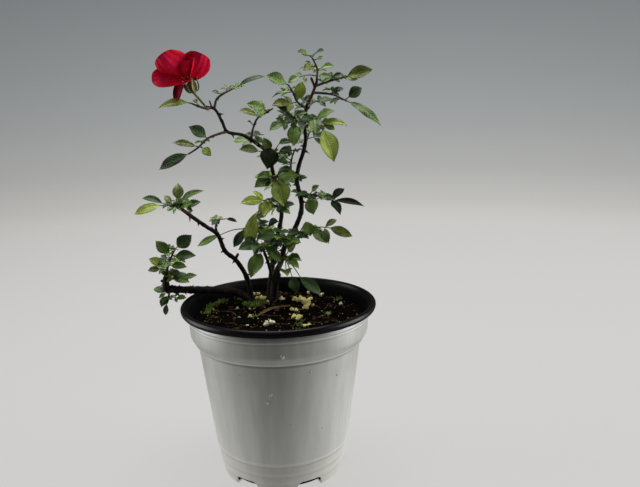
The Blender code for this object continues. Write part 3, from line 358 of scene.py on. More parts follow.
THORNS = {  # by limb
    "bloom_bough": (
        Thorn(Seen(232.5, 137), 250, -75, 3.6), Thorn(Seen(251, 140), 250, -80, 3.2),
        Thorn(Seen(221.8, 113), 350, 15, 3.6), Thorn(Seen(206.6, 110.4), 260, -70, 3.0),
        Thorn(0.72, 200, 20, 2.6), Thorn(0.2, 30, 20, 3.0), Thorn(0.5, 120, 30, 2.8),
        Thorn(0.33, 240, 10, 2.8),
    ),
    "cane_left": (
        Thorn(Seen(187.9, 219.3), 250, -65, 4.2), Thorn(Seen(191, 211), 20, 60, 3.6),
        Thorn(Seen(197.7, 223.8), 240, -55, 3.0), Thorn(Seen(233.4, 262), 200, -5, 3.2),
        Thorn(0.6, 30, 25, 3.0), Thorn(0.5, 190, -20, 2.8), Thorn(0.72, 100, 40, 3.0), Thorn(0.2, 10, 0, 2.8),
    ),
    "cane_main": (
        Thorn(Seen(309, 152), 350, -5, 4.4), Thorn(0.72, 190, 10, 3.2), Thorn(Seen(298, 184), 190, 0, 3.2),
        Thorn(Seen(287, 251), 190, 10, 3.2), Thorn(0.47, 350, 0, 3.0), Thorn(0.62, 80, 0, 3.2),
        Thorn(0.36, 300, 0, 3.0), Thorn(0.8, 10, 5, 2.8), Thorn(0.86, 200, 0, 2.8), Thorn(0.12, 340, 0, 3.0),
    ),
    "cane_back": (
        Thorn(0.3, 180, 0, 3.0), Thorn(0.55, 90, 0, 3.2), Thorn(0.75, 200, 0, 3.0), Thorn(0.9, 30, 0, 3.0),
    ),
    "cane_inner": (Thorn(0.4, 10, 0, 2.4), Thorn(0.8, 200, 0, 2.2)),
    "low_bough": (
        Thorn(0.45, 280, 60, 2.6), Thorn(0.6, 80, 30, 2.8), Thorn(0.78, 300, -60, 2.6),
        Thorn(0.7, 100, 70, 2.4), Thorn(0.86, 60, 75, 2.2), Thorn(0.93, 280, 60, 2.4),
    ),
    "low_stub": (Thorn(0.3, 180, 10, 3.0), Thorn(0.6, 20, 10, 2.6)),
}
STUBS = (
    Stub("cane_main", Seen(310.2, 85.4), 190, 68, 7.5, 1.0),
    Stub("cane_main", Seen(292, 244), 340, 20, 3.6, 1.5),
    Stub("cane_left", Seen(238.8, 255), 20, 55, 4.6, 1.2),
    Stub("cane_main", Seen(312, 110), 355, 15, 2.6, 0.9),
    Stub("bloom_bough", Seen(213, 102), 200, 72, 5.0, 0.6),
    Stub("low_bough", 0.93, 120, 60, 3.0, 1.3),
    Stub("low_stub", 0.45, 190, 25, 3.4, 1.2),
    Stub("cane_back", 0.42, 20, 40, 3.0, 1.1),
)

# The bloom and what carries it
FLOWER_STALK = ((-50, 14, 282.5), (-53.5, 12.5, 287), (-57.5, 10, 292))
FLOWER_STALK_RADIUS = 0.9
FLOWER_STALK_STEP = 4.0
HIP = ((0.0, 0.9), (2.0, 2.8), (4.5, 3.8), (7.0, 3.6), (8.5, 2.6))
BLOOM_AXIS = (-0.28, -0.12, 0.95)
RECEPTACLE = 3.0
PETAL_CLAW = 0.3
PETAL_START = 0.1
PETAL_END = 0.8
PETAL_ROUNDING = 0.12
SEPAL = (  # distance from the hip's axis, height above its foot and half width
    (2.4, 0.9, 0.7), (3.9, 2.6, 1.5), (4.7, 4.8, 1.9), (4.9, 7.2, 1.9), (5.0, 8.9, 1.4), (5.7, 10.3, 0.8),
    (7.0, 10.9, 0.15),
)
SEPAL_COUNT = 5
SEPAL_FIRST = 10  # heading of the first one
SEPAL_SWAY = 0.5
SEPAL_COLUMNS = 9
SEPAL_SHEET = 0.32
PETAL_SHEET = 0.24
PETAL_RIPPLE = 0.55
PETAL_ROLL = 1.2
PETAL_GRID = (34, 25)  # rows and columns of points
INNER_PETALS = 7
INNER_GRID = (16, 13)
RECEPTACLE_OUTLINE = ((-3.4, 1.6), (-2.4, 2.3), (-1.0, 2.6), (0.4, 2.0), (1.2, 0.9))  # height and radius
STAMEN_COUNT = 46
STAMEN_SPREAD = 32
STAMEN_HEIGHT = (4.0, 6.0)
STAMEN_RADII = (0.14, 0.12, 0.12)
ANTHER_SIZE = 0.42
PETAL_DEEP = (0.6, 0.003, 0.022)
PETAL_RED = (0.8, 0.006, 0.04)
# pink of the painted sheen along each petal's middle
PETAL_PAINTED_SHEEN = (0.9, 0.022, 0.11)
PETAL_DARK = (0.25, 0.0015, 0.012)
PETAL_SHADED = (0.07, 0.002, 0.008)
PETALS = (
    Petal(192, 82, 20, 26, 19, 0.3, -52),
    Petal(226, 41, -20, 26.5, 23, 0.42, 40),
    Petal(335, 52, -10, 21, 21, 0.3, -64),
    Petal(290, 18, -5, 17, 16, 0.35, 0),
    Petal(262, 30, -30, 14, 16, 0.4, 8),
    Petal(40, 40, 10, 19, 22, 0.35, 0),
    Petal(120, 44, 10, 18, 22, 0.35, 0),
    Petal(192, 136, 58, 19.5, 8.5, 0.15, -40, 0.8),
)

# Masses of foliage: the twig's knots, from the carrying limb's centre line outwards, and its leaves.
MASSES = (
    Mass("foliage_top", "cane_main", ((35, 36, 301), (35.5, 36, 311), (33, 36, 317), (30.5, 36, 321)), (
        Leaf(0.97, 210, 14, 3, 1, 9.5, -4, 60, tint="mid"),
        Leaf(0.8, 325, 10, 3, 1, 6, 0, 45, tint="mid"),
        Leaf(0.55, 222, 2, 5, 3, 10, 20, 75, tint="olive"),
        Leaf(0.42, 350, 24, 4, 1, 10, 20, 50, tint="mid"),
        Leaf(0.3, 75, 25, 9, 3, 10, 15, 40, tint="bright"),
        Leaf(0.2, 203, -4, 16, 3, 10, 12, 50, tint="mid"),
    )),
    Mass("foliage_top_right", "cane_main", ((34, 36, 298), (44, 30, 301), (57, 24, 304)), (
        Leaf(0.97, 345, 19, 2.5, 1, 19, 8, 75, 0.55, "olive"),
        Leaf(0.9, 335, 0, 3, 1, 9, 15, 60, tint="olive"),
        Leaf(0.42, 350, 42, 4, 1, 8, 20, 50, tint="dark"),
        Leaf(0.6, 65, 20, 12, 3, 11, 20, 35, tint="mid"),
    )),
    Mass("foliage_far_right", "cane_main", ((32, 36, 293), (41, 31, 292), (48, 28, 290.5), (57, 22, 285.5)), (
        Leaf(0.97, 341, -22, 4, 1, 30, 15, 50, 0.3, "mid"),
        Leaf(0.94, 355, 38, 4, 1, 12, 5, 75, 0.8, "dark"),
        Leaf(0.55, 95, 25, 13, 3, 12, 20, 35, tint="mid"),
    )),
    Mass("foliage_upper_left", "cane_main", ((26, 34, 281), (19, 31, 286), (16, 29, 293), (12, 27, 299)), (
        Leaf(0.94, 200, 33, 3, 1, 17, 15, 60, tint="mid"),
        Leaf(0.35, 330, 68, 2, 1, 14, 0, 75, 0.7, "bright"),
        Leaf(0.3, 195, -7, 6, 3, 15, -5, 50, tint="olive"),
        Leaf(0.7, 110, 15, 10, 3, 13, 15, 40, tint="mid"),
    )),
    Mass("foliage_upper_middle", "cane_main", ((24.5, 32, 270), (18, 28, 273), (11, 26, 274)), (
        Leaf(0.85, 202, -35, 7, 3, 13, -10, 60, tint="mid"),
        Leaf(0.42, 252, -40, 7, 1, 17, 25, 65, 0.7, "mid"),
        Leaf(0.6, 185, 48, 5, 1, 11, 20, 45, tint="dark"),
        Leaf(0.7, 115, 10, 11, 3, 13, 20, 40, tint="mid"),
    )),
    Mass("foliage_upper_right", "cane_main", ((24.7, 32, 266), (32, 27, 271), (36, 24, 269)), (
        Leaf(0.6, 340, 38, 3, 1, 15, 15, 50, tint="mid"),
        Leaf(0.95, 350, 0, 2.5, 1, 19.5, 3, 50, 0.42, "bright"),
        Leaf(0.5, 275, 20, 5, 1, 14, 75, 50, 0.85, "mid"),
        Leaf(0.75, 317, -46, 10, 1, 26, 17, 60, 0.6, "sunlit"),
        Leaf(0.85, 60, 5, 11, 3, 13, 20, 40, tint="mid"),
    )),
    Mass("foliage_spray", "bloom_bough", ((-17.5, 30, 257.5), (-16, 29, 266), (-12, 28, 274), (-5, 27, 278),
                                          (0, 26, 281)), (
        Leaf(0.54, 200, 30, 3, 1, 14, 12, 45, 0.5, "olive"),
        Leaf(0.8, 200, 45, 3, 3, 15, 28, 55, 0.55, "mid"),
        Leaf(0.27, 225, 30, 2, 1, 5.5, 5, 30, tint="young"),
        Leaf(0.7, 95, 20, 9, 3, 12, 20, 35, tint="mid"),
    )),
    Mass("foliage_bloom_side", "bloom_bough", ((-35.5, 20, 264), (-43, 16, 262), (-50, 13, 259),
                                               (-57, 10, 252.5), (-64, 8, 248)), (
        Leaf(0.95, 188, -25, 3, 1, 23.5, 0, 50, 0.42, "dark"),
        Leaf(0.46, 192, 45, 2, 1, 14, 10, 65, 0.72, "dark"),
        Leaf(0.72, 190, 12, 3, 1, 16.5, 2, 45, 0.4, "olive"),
        Leaf(0.7, 322, -30, 3, 1, 10, 0, 60, 0.7, "bright"),
        Leaf(0.6, 100, 10, 7, 3, 12, 15, 30, tint="mid"),
    )),
    Mass("foliage_bloom_top", "bloom_bough", ((-44, 16, 281), (-42, 17, 288), (-37, 18, 292),
                                              (-29, 20, 296)), (
        Leaf(0.94, 345, 24, 7, 1, 20, 8, 50, 0.36, "dark"),
        Leaf(0.8, 0, 28, 3, 1, 11, 10, 50, tint="mid"),
        Leaf(0.55, 215, 25, 2.5, 1, 6, 15, 50, tint="dark"),
        Leaf(0.7, 85, 25, 9, 3, 11, 20, 35, tint="mid"),
    )),
    Mass("foliage_bloom_left", "bloom_bough", ((-47, 15, 282), (-48.5, 11.5, 281), (-54, 9, 282.5),
                                               (-60, 8.5, 285)), (
        Leaf(0.92, 192, 14, 4, 1, 21, 22, 50, 0.4, "bright"),
        Leaf(0.6, 120, 40, 4, 1, 5.5, 10, 40, tint="young"),
    )),
    Mass("foliage_heart", "bloom_bough", ((-4.5, 41, 241), (-3, 34, 244), (-1, 31, 247)), (
        Leaf(0.97, 196, 8, 12, 1, 15, 0, 45, tint="mid"),
        Leaf(0.7, 222, 50, 4, 1, 12, -8, 75, 0.7, "mid"),
        Leaf(0.86, 250, 42, 6, 1, 19, 95, 60, 0.85, "deep"),
        Leaf(0.97, 25, 50, 9, 1, 11, 40, 40, tint="dark"),
        Leaf(0.8, 355, 8, 5, 1, 9, 5, 50, tint="dark"),
    )),
    Mass("foliage_middle", "cane_back", ((0.2, 44.5, 221), (-3, 38, 225), (0, 33, 227)), (
        Leaf(0.62, 215, 38, 6, 3, 12, 40, 55, tint="mid"),
        Leaf(0.5, 215, 15, 4, 1, 16, 35, 65, 0.7, "mid"),
        Leaf(0.97, 335, 2, 3, 3, 18, -5, 55, tint="mid"),
        Leaf(0.9, 292, -18, 7, 1, 21, 45, 60, 0.8, "bright"),
        Leaf(0.8, 335, 52, 8, 1, 10, 40, 50, tint="dark"),
    )),
    Mass("foliage_shoot", "cane_main", ((17.7, 34, 224), (13, 32, 232), (14, 32, 243), (17, 32, 250)), (
        Leaf(0.9, 190, 12, 3, 3, 9, 10, 50, tint="dark"),
        Leaf(0.5, 200, 20, 3, 1, 9, 15, 50, tint="dark"),
        Leaf(0.35, 95, 20, 9, 3, 11, 20, 35, tint="mid"),
    )),
    Mass("foliage_middle_low", "cane_back", ((4, 46.5, 201), (-2, 40, 204), (-6, 35, 207)), (
        Leaf(0.95, 200, 20, 6, 3, 19, 20, 55, 0.5, "bright"),
        Leaf(0.8, 245, 30, 5, 1, 14.5, 85, 60, 0.7, "sunlit"),
        Leaf(0.75, 207, -28, 16, 1, 30, 38, 70, 0.4, "sunlit"),
        Leaf(0.5, 205, -45, 8, 1, 12, -25, 50, tint="dark"),
        Leaf(0.3, 335, -5, 5, 3, 12, -15, 50, tint="dark"),
    )),
    Mass("foliage_right_middle", "cane_main", ((20, 30, 211), (26, 27, 213), (32, 25, 213), (38, 22, 210)), (
        Leaf(0.32, 330, 50, 4, 1, 8, 10, 50, tint="mid"),
        Leaf(0.95, 340, -10, 10, 3, 24, -3, 40, 0.26, "deep"),
        Leaf(0.82, 335, 4, 3, 1, 10, 10, 50, tint="dark"),
        Leaf(0.2, 295, -20, 5, 1, 14, 40, 60, 0.85, "mid"),
        Leaf(0.6, 60, 5, 11, 3, 12, 15, 35, tint="mid"),
    )),
    Mass("foliage_right_low", "cane_main", ((11, 32.2, 179), (18, 28, 182), (27, 24, 186)), (
        Leaf(0.95, 343, 4, 17, 3, 19, 15, 60, 0.45, "olive"),
        Leaf(0.92, 322, -8, 4, 1, 16, 28, 60, 0.6, "mid"),
        Leaf(0.5, 335, 14, 3, 1, 8, 20, 50, tint="deep"),
        Leaf(0.3, 318, 55, 12, 1, 12, 125, 60, 0.9, "mid"),
        Leaf(0.7, 55, 0, 10, 3, 12, 10, 35, tint="mid"),
    )),
    Mass("foliage_left_tip", "cane_left", ((-71, 6, 207), (-74, 4, 211), (-79, 2, 211)), (
        Leaf(0.96, 197, 0, 8, 1, 19, 15, 50, 0.45, "bright"),
        Leaf(0.85, 166, 12, 8, 1, 16, -3, 40, 0.4, "dark"),
        Leaf(0.3, 300, 78, 7, 1, 12, -3, 75, 0.75, "pale"),
        Leaf(0.4, 345, 52, 6, 1, 20, 28, 50, 0.32, "mid"),
        Leaf(0.4, 325, 22, 4, 1, 12, 10, 60, 0.6, "mid"),
        Leaf(0.6, 150, 40, 4, 1, 8, 0, 50, tint="pale"),
    )),
    Mass("foliage_left_fork", "cane_left", ((-47, 20, 185), (-47.5, 19, 192), (-44, 18, 197)), (
        Leaf(0.9, 240, 12, 3, 1, 8, 30, 50, tint="dark"),
        Leaf(0.95, 335, 8, 6, 1, 9, 20, 40, 0.35, "deep"),
        Leaf(0.6, 110, 20, 8, 3, 10, 20, 30, tint="mid"),
    )),
    Mass("foliage_low_left", "low_stub", ((-89.5, 26, 153), (-87.5, 26, 160), (-85, 26, 166),
                                          (-81, 26, 173)), (
        Leaf(0.96, 355, 46, 3, 1, 15, 8, 75, 0.8, "dark"),
        Leaf(0.75, 192, 28, 3, 1, 14, -18, 75, 0.7, "mid"),
        Leaf(0.68, 350, -2, 3, 1, 16.5, -5, 55, 0.55, "dark"),
        Leaf(0.3, 345, -6, 3, 1, 12.5, -2, 55, 0.6, "mid"),
        Leaf(0.22, 200, 37, 5, 1, 11.5, 12, 60, 0.65, "bright"),
        Leaf(0.12, 195, 8, 6, 1, 9, 8, 50, tint="young"),
        Leaf(0.45, 100, 15, 10, 3, 12, 15, 40, tint="mid"),
        Leaf(0.5, 265, 5, 6, 1, 11, 20, 30, tint="mid"),
    )),
    Mass("foliage_stub_side", "low_stub", ((-90, 26, 148), (-85, 25, 149), (-80, 25, 149)), (
        Leaf(0.9, 355, 2, 4, 1, 12, -8, 50, 0.45, "mid"),
        Leaf(0.5, 340, -14, 3, 1, 11, -5, 50, 0.6, "mid"),
    )),
    Mass("foliage_low_hanging", "low_bough", ((-87.5, 26.5, 139.4), (-89, 25, 133.5), (-89.5, 24, 130)), (
        Leaf(0.6, 245, 40, 3, 1, 10, 80, 50, 0.7, "dark"),
        Leaf(0.95, 200, -65, 3, 1, 9, 15, 50, 0.5, "dark"),
        Leaf(0.4, 345, -8, 7, 3, 8, -10, 45, tint="mid"),
    )),
    Mass("foliage_low_middle", "cane_back", ((0, 50, 175), (-4, 46, 179), (-8, 41, 183), (-14, 37, 186),
                                             (-22, 33, 186)), (
        Leaf(0.97, 178, -10, 27, 1, 19, 8, 45, 0.34, "mid"),
        Leaf(0.97, 185, -15, 5, 1, 16.5, 38, 60, 0.5, "dark"),
        Leaf(0.45, 310, 50, 5, 1, 14, 30, 55, 0.65, "deep"),
        Leaf(0.66, 275, 50, 5, 1, 11, 20, 60, tint="dark"),
        Leaf(0.3, 110, 10, 9, 3, 12, 15, 40, tint="mid"),
    )),
    Mass("foliage_inner", "cane_inner", ((-10.5, 30, 166), (-12, 28, 171), (-15, 25, 175)), (
        Leaf(0.7, 215, 22, 5, 3, 16, 25, 55, 0.65, "dark"),
        Leaf(0.35, 235, -45, 4, 1, 21.5, 8, 60, 0.62, "mid"),
        Leaf(0.3, 325, 15, 5, 1, 16, 48, 55, 0.55, "mid"),
        Leaf(0.9, 260, 10, 7, 1, 13, 20, 40, tint="dark"),
    )),
    Mass("foliage_foot", "cane_main", ((3, 36, 158), (5.5, 31, 161), (6.5, 28, 163)), (
        Leaf(0.95, 318, -18, 2.5, 1, 13.5, 15, 55, 0.5, "mid"),
        Leaf(0.9, 270, -60, 11, 1, 17, -60, 55, 0.6, "mid"),
        Leaf(0.7, 310, -62, 17, 1, 13.5, 8, 60, 0.75, "dark"),
        Leaf(0.6, 338, -50, 21, 1, 22, -18, 55, 0.5, "dark"),
        Leaf(0.4, 225, -50, 11, 1, 15.5, 22, 55, 0.5, "deep"),
        Leaf(0.85, 320, 60, 6, 1, 11, 20, 55, 0.7, "olive"),
    )),
)

# Twigs on the far and the near side: name, carrier, root, heading, rise, length and number of leaves.
ROUND_TWIGS = (
    ("foliage_back_top", "cane_main", (25.5, 33.5, 277), 70, 25, 22, 3),
    ("foliage_back_high", "cane_main", (23, 32, 247), 75, 30, 30, 4),
    ("foliage_back_left", "bloom_bough", (-9, 37, 250.5), 120, 22, 24, 3),
    ("foliage_back_middle", "cane_back", (3, 45, 211), 95, 25, 30, 4),
    ("foliage_back_low", "cane_back", (-4, 49, 155), 80, 35, 32, 4),
    ("foliage_front_low", "cane_main", (7.5, 33.5, 172), 255, 30, 15, 3),
)
ROUND_STALK = 7.0
ROUND_BLADE = 13.0
ROUND_ARCH = 0.5
ROUND_SPREAD = 55.0
ROUND_DRIFT = 12.0
ROUND_RISE = 14.0
ROUND_NOD = 13.0
ROUND_FIRST = 0.3
ROUND_LAST = 0.9
ROUND_END = 0.97
ROUND_TINTS = ("mid", "dark", "mid", "bright")

# Leaflets
TOOTH_PITCH = 1.3  # length of margin that one tooth takes
TOOTH_DEPTH = 0.42
COLUMNS = np.array([-1.0, -0.74, -0.4, 0.0, 0.4, 0.74, 1.0])
OUTLINE_LEAN = 0.92  # below 1 the blade is widest nearer its base
OUTLINE_FULLNESS = 0.84
OUTLINE_POINT = 0.22  # how far the outline narrows to a point at the tip
TOOTH_LEAN = 0.5
TOOTH_SIZES = (0.8, 1.2)
LEAF_FOLD = (0.2, 0.5)
EDGE_CURL = (0.02, 0.16)
MARGIN_WAVE = (0.03, 0.09)  # height of the margin's waves against the blade's half width
WAVE_COUNT = (1.2, 2.2)
TIP_DROOP = (0.0, 0.07)  # against the blade's length
BLADE_TWIST = 0.3
BLADE_SWAY = 0.05
STALK_SIDES = 6
STALK_SWELL = (1.25, 0.8)  # a leaf stalk's radius at its foot and at its tip, against STALK_RADIUS
SIDE_STALK = (0.34, 0.26)  # the same of a side leaflet's stalk, in millimetres
SIDE_STALK_SIDES = 5
TWIG_SIDES = 8
TWIG_SWELL = (1.3, 1.2)  # a drawn twig's radius at its root and at its tip, against the solid's
TWIG_YOUNG = 0.12
DRAWN_STEP = 1.2  # spacing of the rings of stalks and twigs
BUD_PLACES = (0.3, 0.55, 0.8)
BUD_BENDS = ((0.9, 0.6), (1.1, 1.9))  # out from the twig, and along it
BUD_RADII = (0.75, 0.15)
BUD_SIDES = 6
NEAR_ENOUGH = 3.0  # a blade whose middle is farther from the solid than this isn't on the solid
LEAST_HALF = 0.1
LEAF_THICKNESS = 0.2
VEIN_SPACING = 2.3
VEIN_SLOPE = 0.8
QUILTING = 0.16  # height of the blade between two side veins
RIB_HEIGHT = 0.28
RIB_WIDTH = 0.12
RIB_TAPER = 0.8
PETIOLULE = 1.2
STIPULE = 2.2
STIPULE_TURN = 24
STIPULE_FACE = 20
STIPULE_WIDTH = 0.3
SLIMMING = 0.88  # width of a drawn blade against the solid's
FILL = {  # small extra leaves near the twigs that the bush is thickest round
    "foliage_low_middle": 12, "foliage_middle_low": 9, "foliage_middle": 6, "foliage_heart": 5,
    "foliage_inner": 8, "foliage_foot": 11, "foliage_front_low": 6, "foliage_right_middle": 8,
    "foliage_right_low": 6,
    "foliage_upper_middle": 7, "foliage_upper_right": 6, "foliage_upper_left": 2, "foliage_low_left": 8,
    "foliage_left_tip": 7, "foliage_spray": 2, "foliage_shoot": 3, "foliage_top": 3, "foliage_far_right": 2,
    "foliage_stub_side": 2, "foliage_low_hanging": 4, "foliage_top_right": 2,
}
FILL_TINTS = ("dark", "mid", "dark", "bright", "dark", "mid")
FILL_BLADE = (7.0, 11.5)
FILL_STALK = (2.5, 6.0)
FILL_RISE = (-20, 35)
FILL_FACE = (20, 60)
FILL_TURN = 40
FILL_NOD = 12
FILL_WIDTH = 0.6
# sunlit and bright are painted light, lighter copies of the green for leaves that catch the light or let it
# through; dark and deep are painted shade, darker copies for leaves in the bush's shadow
TINTS = {  # base colours at their darkest and lightest, and gloss
    "mid": ((0.011, 0.038, 0.004), (0.2, 0.35, 0.04), 0.62),
    "bright": ((0.12, 0.22, 0.014), (0.46, 0.58, 0.06), 0.6),
    "sunlit": ((0.26, 0.38, 0.04), (0.58, 0.7, 0.12), 0.55),
    "dark": ((0.003, 0.014, 0.002), (0.045, 0.11, 0.015), 0.4),
    "deep": ((0.004, 0.008, 0.002), (0.014, 0.026, 0.005), 0.08),
    "olive": ((0.035, 0.058, 0.006), (0.25, 0.3, 0.03), 0.55),
    "pale": ((0.12, 0.19, 0.05), (0.42, 0.54, 0.17), 0.4),
    "young": ((0.05, 0.045, 0.012), (0.15, 0.16, 0.03), 0.3),
}


# ---------------------------------------------------------------- the rule that the solids grow by


def pointing(heading, rise):
    """Unit vector at a heading, anticlockwise from +X, and an angle above the horizontal, in degrees."""
    turn = math.radians(heading)
    lift = math.radians(rise)
    return Vector((math.cos(turn) * math.cos(lift), math.sin(turn) * math.cos(lift), math.sin(lift)))


def turned(vector, axis, degrees):
    return Matrix.Rotation(math.radians(degrees), 3, axis) @ vector


def aligned(axis):
    """Rotation that takes +Z to the axis."""
    return UP.rotation_difference(Vector(axis).normalized()).to_matrix()


def wall_radius(height):
    """Outer radius of the pot's plain conical wall at a height."""
    share = (height - WALL_BOTTOM[1]) / (WALL_TOP[1] - WALL_BOTTOM[1])
    return WALL_BOTTOM[0] + share * (WALL_TOP[0] - WALL_BOTTOM[0])


def inner_profile(inset):
    """The pot's inner face, from the brim down to the floor, moved in by the inset."""
    return [
        (INNER_NECK_RADIUS - inset, POT_HEIGHT - INNER_NECK_DROP),
        (SOIL_RADIUS - inset, SOIL_LEVEL),
        (LEDGE_INNER_RADIUS - inset, LEDGE_HEIGHT + LEDGE_RISE),
        (wall_radius(LEDGE_HEIGHT) - WALL - inset, LEDGE_HEIGHT - 1.0),
        (FOOT_RADIUS - WALL - inset, FLOOR + inset),
    ]


def soil_height(x, y):
    """Height of the soil: level, with one low flat-topped mound round the crown of the bush."""
    away = math.hypot(x - MOUND_CENTRE[0], y - MOUND_CENTRE[1])
    share = min(1.0, max(0.0, (MOUND_FOOT - away) / (MOUND_FOOT - MOUND_FLAT)))
    return SOIL_LEVEL + MOUND_HEIGHT * share * share * (3 - 2 * share)


def smooth_route(knots, step):
    """Points about one step apart on a smooth curve through the knots."""
    knots = [Vector(k) for k in knots]
    tangents = []
    for i, knot in enumerate(knots):
        before = knots[max(0, i - 1)]
        after = knots[min(len(knots) - 1, i + 1)]
        tangents.append((after - before) / ((after - knot).length + (knot - before).length))
    route = []
    for i in range(len(knots) - 1):
        start, end = knots[i], knots[i + 1]
        span = (end - start).length
        count = max(1, round(span / step))
        for j in range(count):
            t = j / count
            route.append(
                start * (2 * t**3 - 3 * t**2 + 1)
                + tangents[i] * span * (t**3 - 2 * t**2 + t)
                + end * (3 * t**2 - 2 * t**3)
                + tangents[i + 1] * span * (t**3 - t**2)
            )
    return route + [knots[-1]]


def signed_distance(tree, point):
    nearest, normal, _, distance = tree.find_nearest(point)
    return distance if (point - nearest).dot(normal) > 0 else -distance


def start_clear(route, radius, tree):
    """The route from the first place where a ring of this radius is GAP clear of the carrying surface."""
    for i in range(len(route) - 1):
        forward = (route[i + 1] - route[i]).normalized()
        side = forward.orthogonal().normalized()
        ring = [route[i] + turned(side, forward, a) * radius for a in range(0, 360, 45)]
        if min(signed_distance(tree, p) for p in ring + [route[i]]) >= GAP:
            return route[i:]
    raise ValueError("the route never leaves its carrier")


def thinned(route, step):
    """Every so many points of a fine route, with both ends kept."""
    kept = [route[0]]
    for point in route[1:-1]:
        if (point - kept[-1]).length >= step and (point - route[-1]).length >= step / 2:
            kept.append(point)
    return kept + [route[-1]]


def limb_radius(limb, share, climbed):
    radius = limb.root + (limb.tip - limb.root) * share
    if limb.from_soil:
        radius *= 1 + (ROOT_FLARE - 1) * max(0.0, 1 - climbed / FLARE_HEIGHT) ** 2
    return radius


def blade_normal(along, face):
    """The blade's upper side: upward, leaning to the front by the face angle, square to its direction."""
    turn = math.radians(face)
    for wish in (Vector((0.0, -math.sin(turn), math.cos(turn))), STEEP_NORMAL):
        normal = wish - along * wish.dot(along)
        if normal.length > LEAST_NORMAL:
            return normal.normalized()
    return along.orthogonal().normalized()


def place_on(route, share):
    """The point at a share of the way along a route."""
    left = share * sum((b - a).length for a, b in zip(route, route[1:]))
    for a, b in zip(route, route[1:]):
        span = (b - a).length
        if left <= span:
            return a.lerp(b, left / span)
        left -= span
    return route[-1]


def leaf_plan(leaf, start, rng):
    """A compound leaf: its stalk's route, and each blade's base, direction, normal, length and width."""
    heading = leaf.heading + rng.uniform(-HEADING_PLAY, HEADING_PLAY)
    out = pointing(heading, leaf.rise + rng.uniform(-RISE_PLAY, RISE_PLAY))
    rise = Vector((0.0, 0.0, STALK_ARCH * leaf.stalk))
    places = (0.0, 0.5, 1.0) if leaf.stalk > LONG_STALK else (0.0, 1.0)
    route = [start + out * leaf.stalk * t + rise * t * (1 - t) for t in places]
    ahead = (route[-1] - route[-2]).normalized()
    level = ahead.cross(UP)
    level = level.normalized() if level.length > 0.1 else Vector((1, 0, 0))
    tip_way = turned(ahead, level, -leaf.nod)
    normal = blade_normal(tip_way, leaf.face + rng.uniform(-FACE_PLAY, FACE_PLAY))
    blades = [(route[-1], tip_way, normal, leaf.blade, leaf.width)]
    for pair in range(leaf.leaflets // 2):
        root = place_on(route, END_PAIR - PAIR_SPACING * pair)
        for side in (-1, 1):
            way = turned(tip_way, normal, side * (PAIR_ANGLE + rng.uniform(-PAIR_PLAY, PAIR_PLAY)))
            face = turned(normal, way, rng.uniform(-PAIR_TILT, PAIR_TILT))
            size = leaf.blade * PAIR_SIZE * PAIR_TAPER**pair * rng.uniform(*PAIR_SIZES)
            blades.append((root, way, face, size, max(leaf.width, PAIR_WIDTH)))
    return route, blades


def round_mass(name, carrier, root, heading, rise, length, count):
    """A plain arching twig with one leaf at its tip and the others on alternate sides."""
    start = Vector(root)
    end = start + pointing(heading, rise) * length
    middle = (start + end) / 2 + Vector((0.0, 0.0, ROUND_ARCH))
    end_leaf = Leaf(ROUND_END, heading, rise - 10, ROUND_STALK / 2, 3, ROUND_BLADE, ROUND_NOD, 20)
    leaves = [end_leaf]
    for i in range(count - 1):
        turn = heading + ROUND_SPREAD * (-1) ** i + ROUND_DRIFT * (i - 1)
        at = ROUND_FIRST + (ROUND_LAST - ROUND_FIRST) * i / max(1, count - 2)
        tint = ROUND_TINTS[i % len(ROUND_TINTS)]
        stalk = ROUND_STALK + 3 * (1 - at)
        leaves.append(Leaf(at, turn, ROUND_RISE, stalk, 3, ROUND_BLADE, ROUND_NOD, tint=tint))
    return Mass(name, carrier, (tuple(start), tuple(middle), tuple(end)), tuple(leaves))


# ---------------------------------------------------------------- building meshes


class Heap:
    """Closed shapes joined into one mesh, with values for each point, in millimetres."""

    def __init__(self):
        self.points = []
        self.quads = []
        self.fans = []
        self.values = {}
        self.count = 0

    def add(self, points, quads, fans=(), **values):
        points = np.asarray(points, float).reshape(-1, 3)
        quads = np.asarray(quads, int).reshape(-1, 4)
        fans = np.asarray(fans, int).reshape(-1, 3)
        corners = np.concatenate([quads[:, [0, 1, 2]], quads[:, [0, 2, 3]], fans])
        a, b, c = ((points - points.mean(axis=0))[corners[:, k]] for k in range(3))
        if np.einsum("ij,ij->i", a, np.cross(b, c)).sum() < 0:
            quads = quads[:, ::-1]
            fans = fans[:, ::-1]
        self.points.append(points)
        self.quads.append(quads + self.count)
        self.fans.append(fans + self.count)
        for key, value in values.items():
            each = np.broadcast_to(np.asarray(value, float).reshape(-1), len(points))
            self.values.setdefault(key, []).append(each)
        self.count += len(points)

    def mesh(self, name, smooth_angle):
        mesh = bpy.data.meshes.new(name)
        faces = np.concatenate(self.quads).tolist() + np.concatenate(self.fans).tolist()
        mesh.from_pydata((np.concatenate(self.points) * MM).tolist(), [], faces)
        for key, blocks in self.values.items():
            layer = mesh.attributes.new(key, "FLOAT", "POINT")
            layer.data.foreach_set("value", np.concatenate(blocks).astype(np.float32))
        mesh.shade_smooth()
        mesh.set_sharp_from_angle(angle=math.radians(smooth_angle))
        return mesh


def piece(name, mesh, material, nodes):
    """One piece of the scene: its material, and the nodes it replaces."""
    obj = bpy.data.objects.new(name, mesh)
    bpy.context.scene.collection.objects.link(obj)
    mesh.materials.append(material)
    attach(obj, BODY)
    if nodes:
        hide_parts(*nodes)
    return obj


def heap_piece(name, heap, material, nodes, smooth_angle=60.0):
    return piece(name, heap.mesh(name, smooth_angle), material, nodes)


def grid_quads(rows, columns, wrap=False):
    """Faces of a grid of points, whose columns may close into a ring."""
    down = np.arange(rows - 1)[:, None]
    across = np.arange(columns if wrap else columns - 1)[None, :]
    beside = (across + 1) % columns
    low = down * columns
    high = low + columns
    return np.stack([low + across, low + beside, high + beside, high + across], axis=-1).reshape(-1, 4)


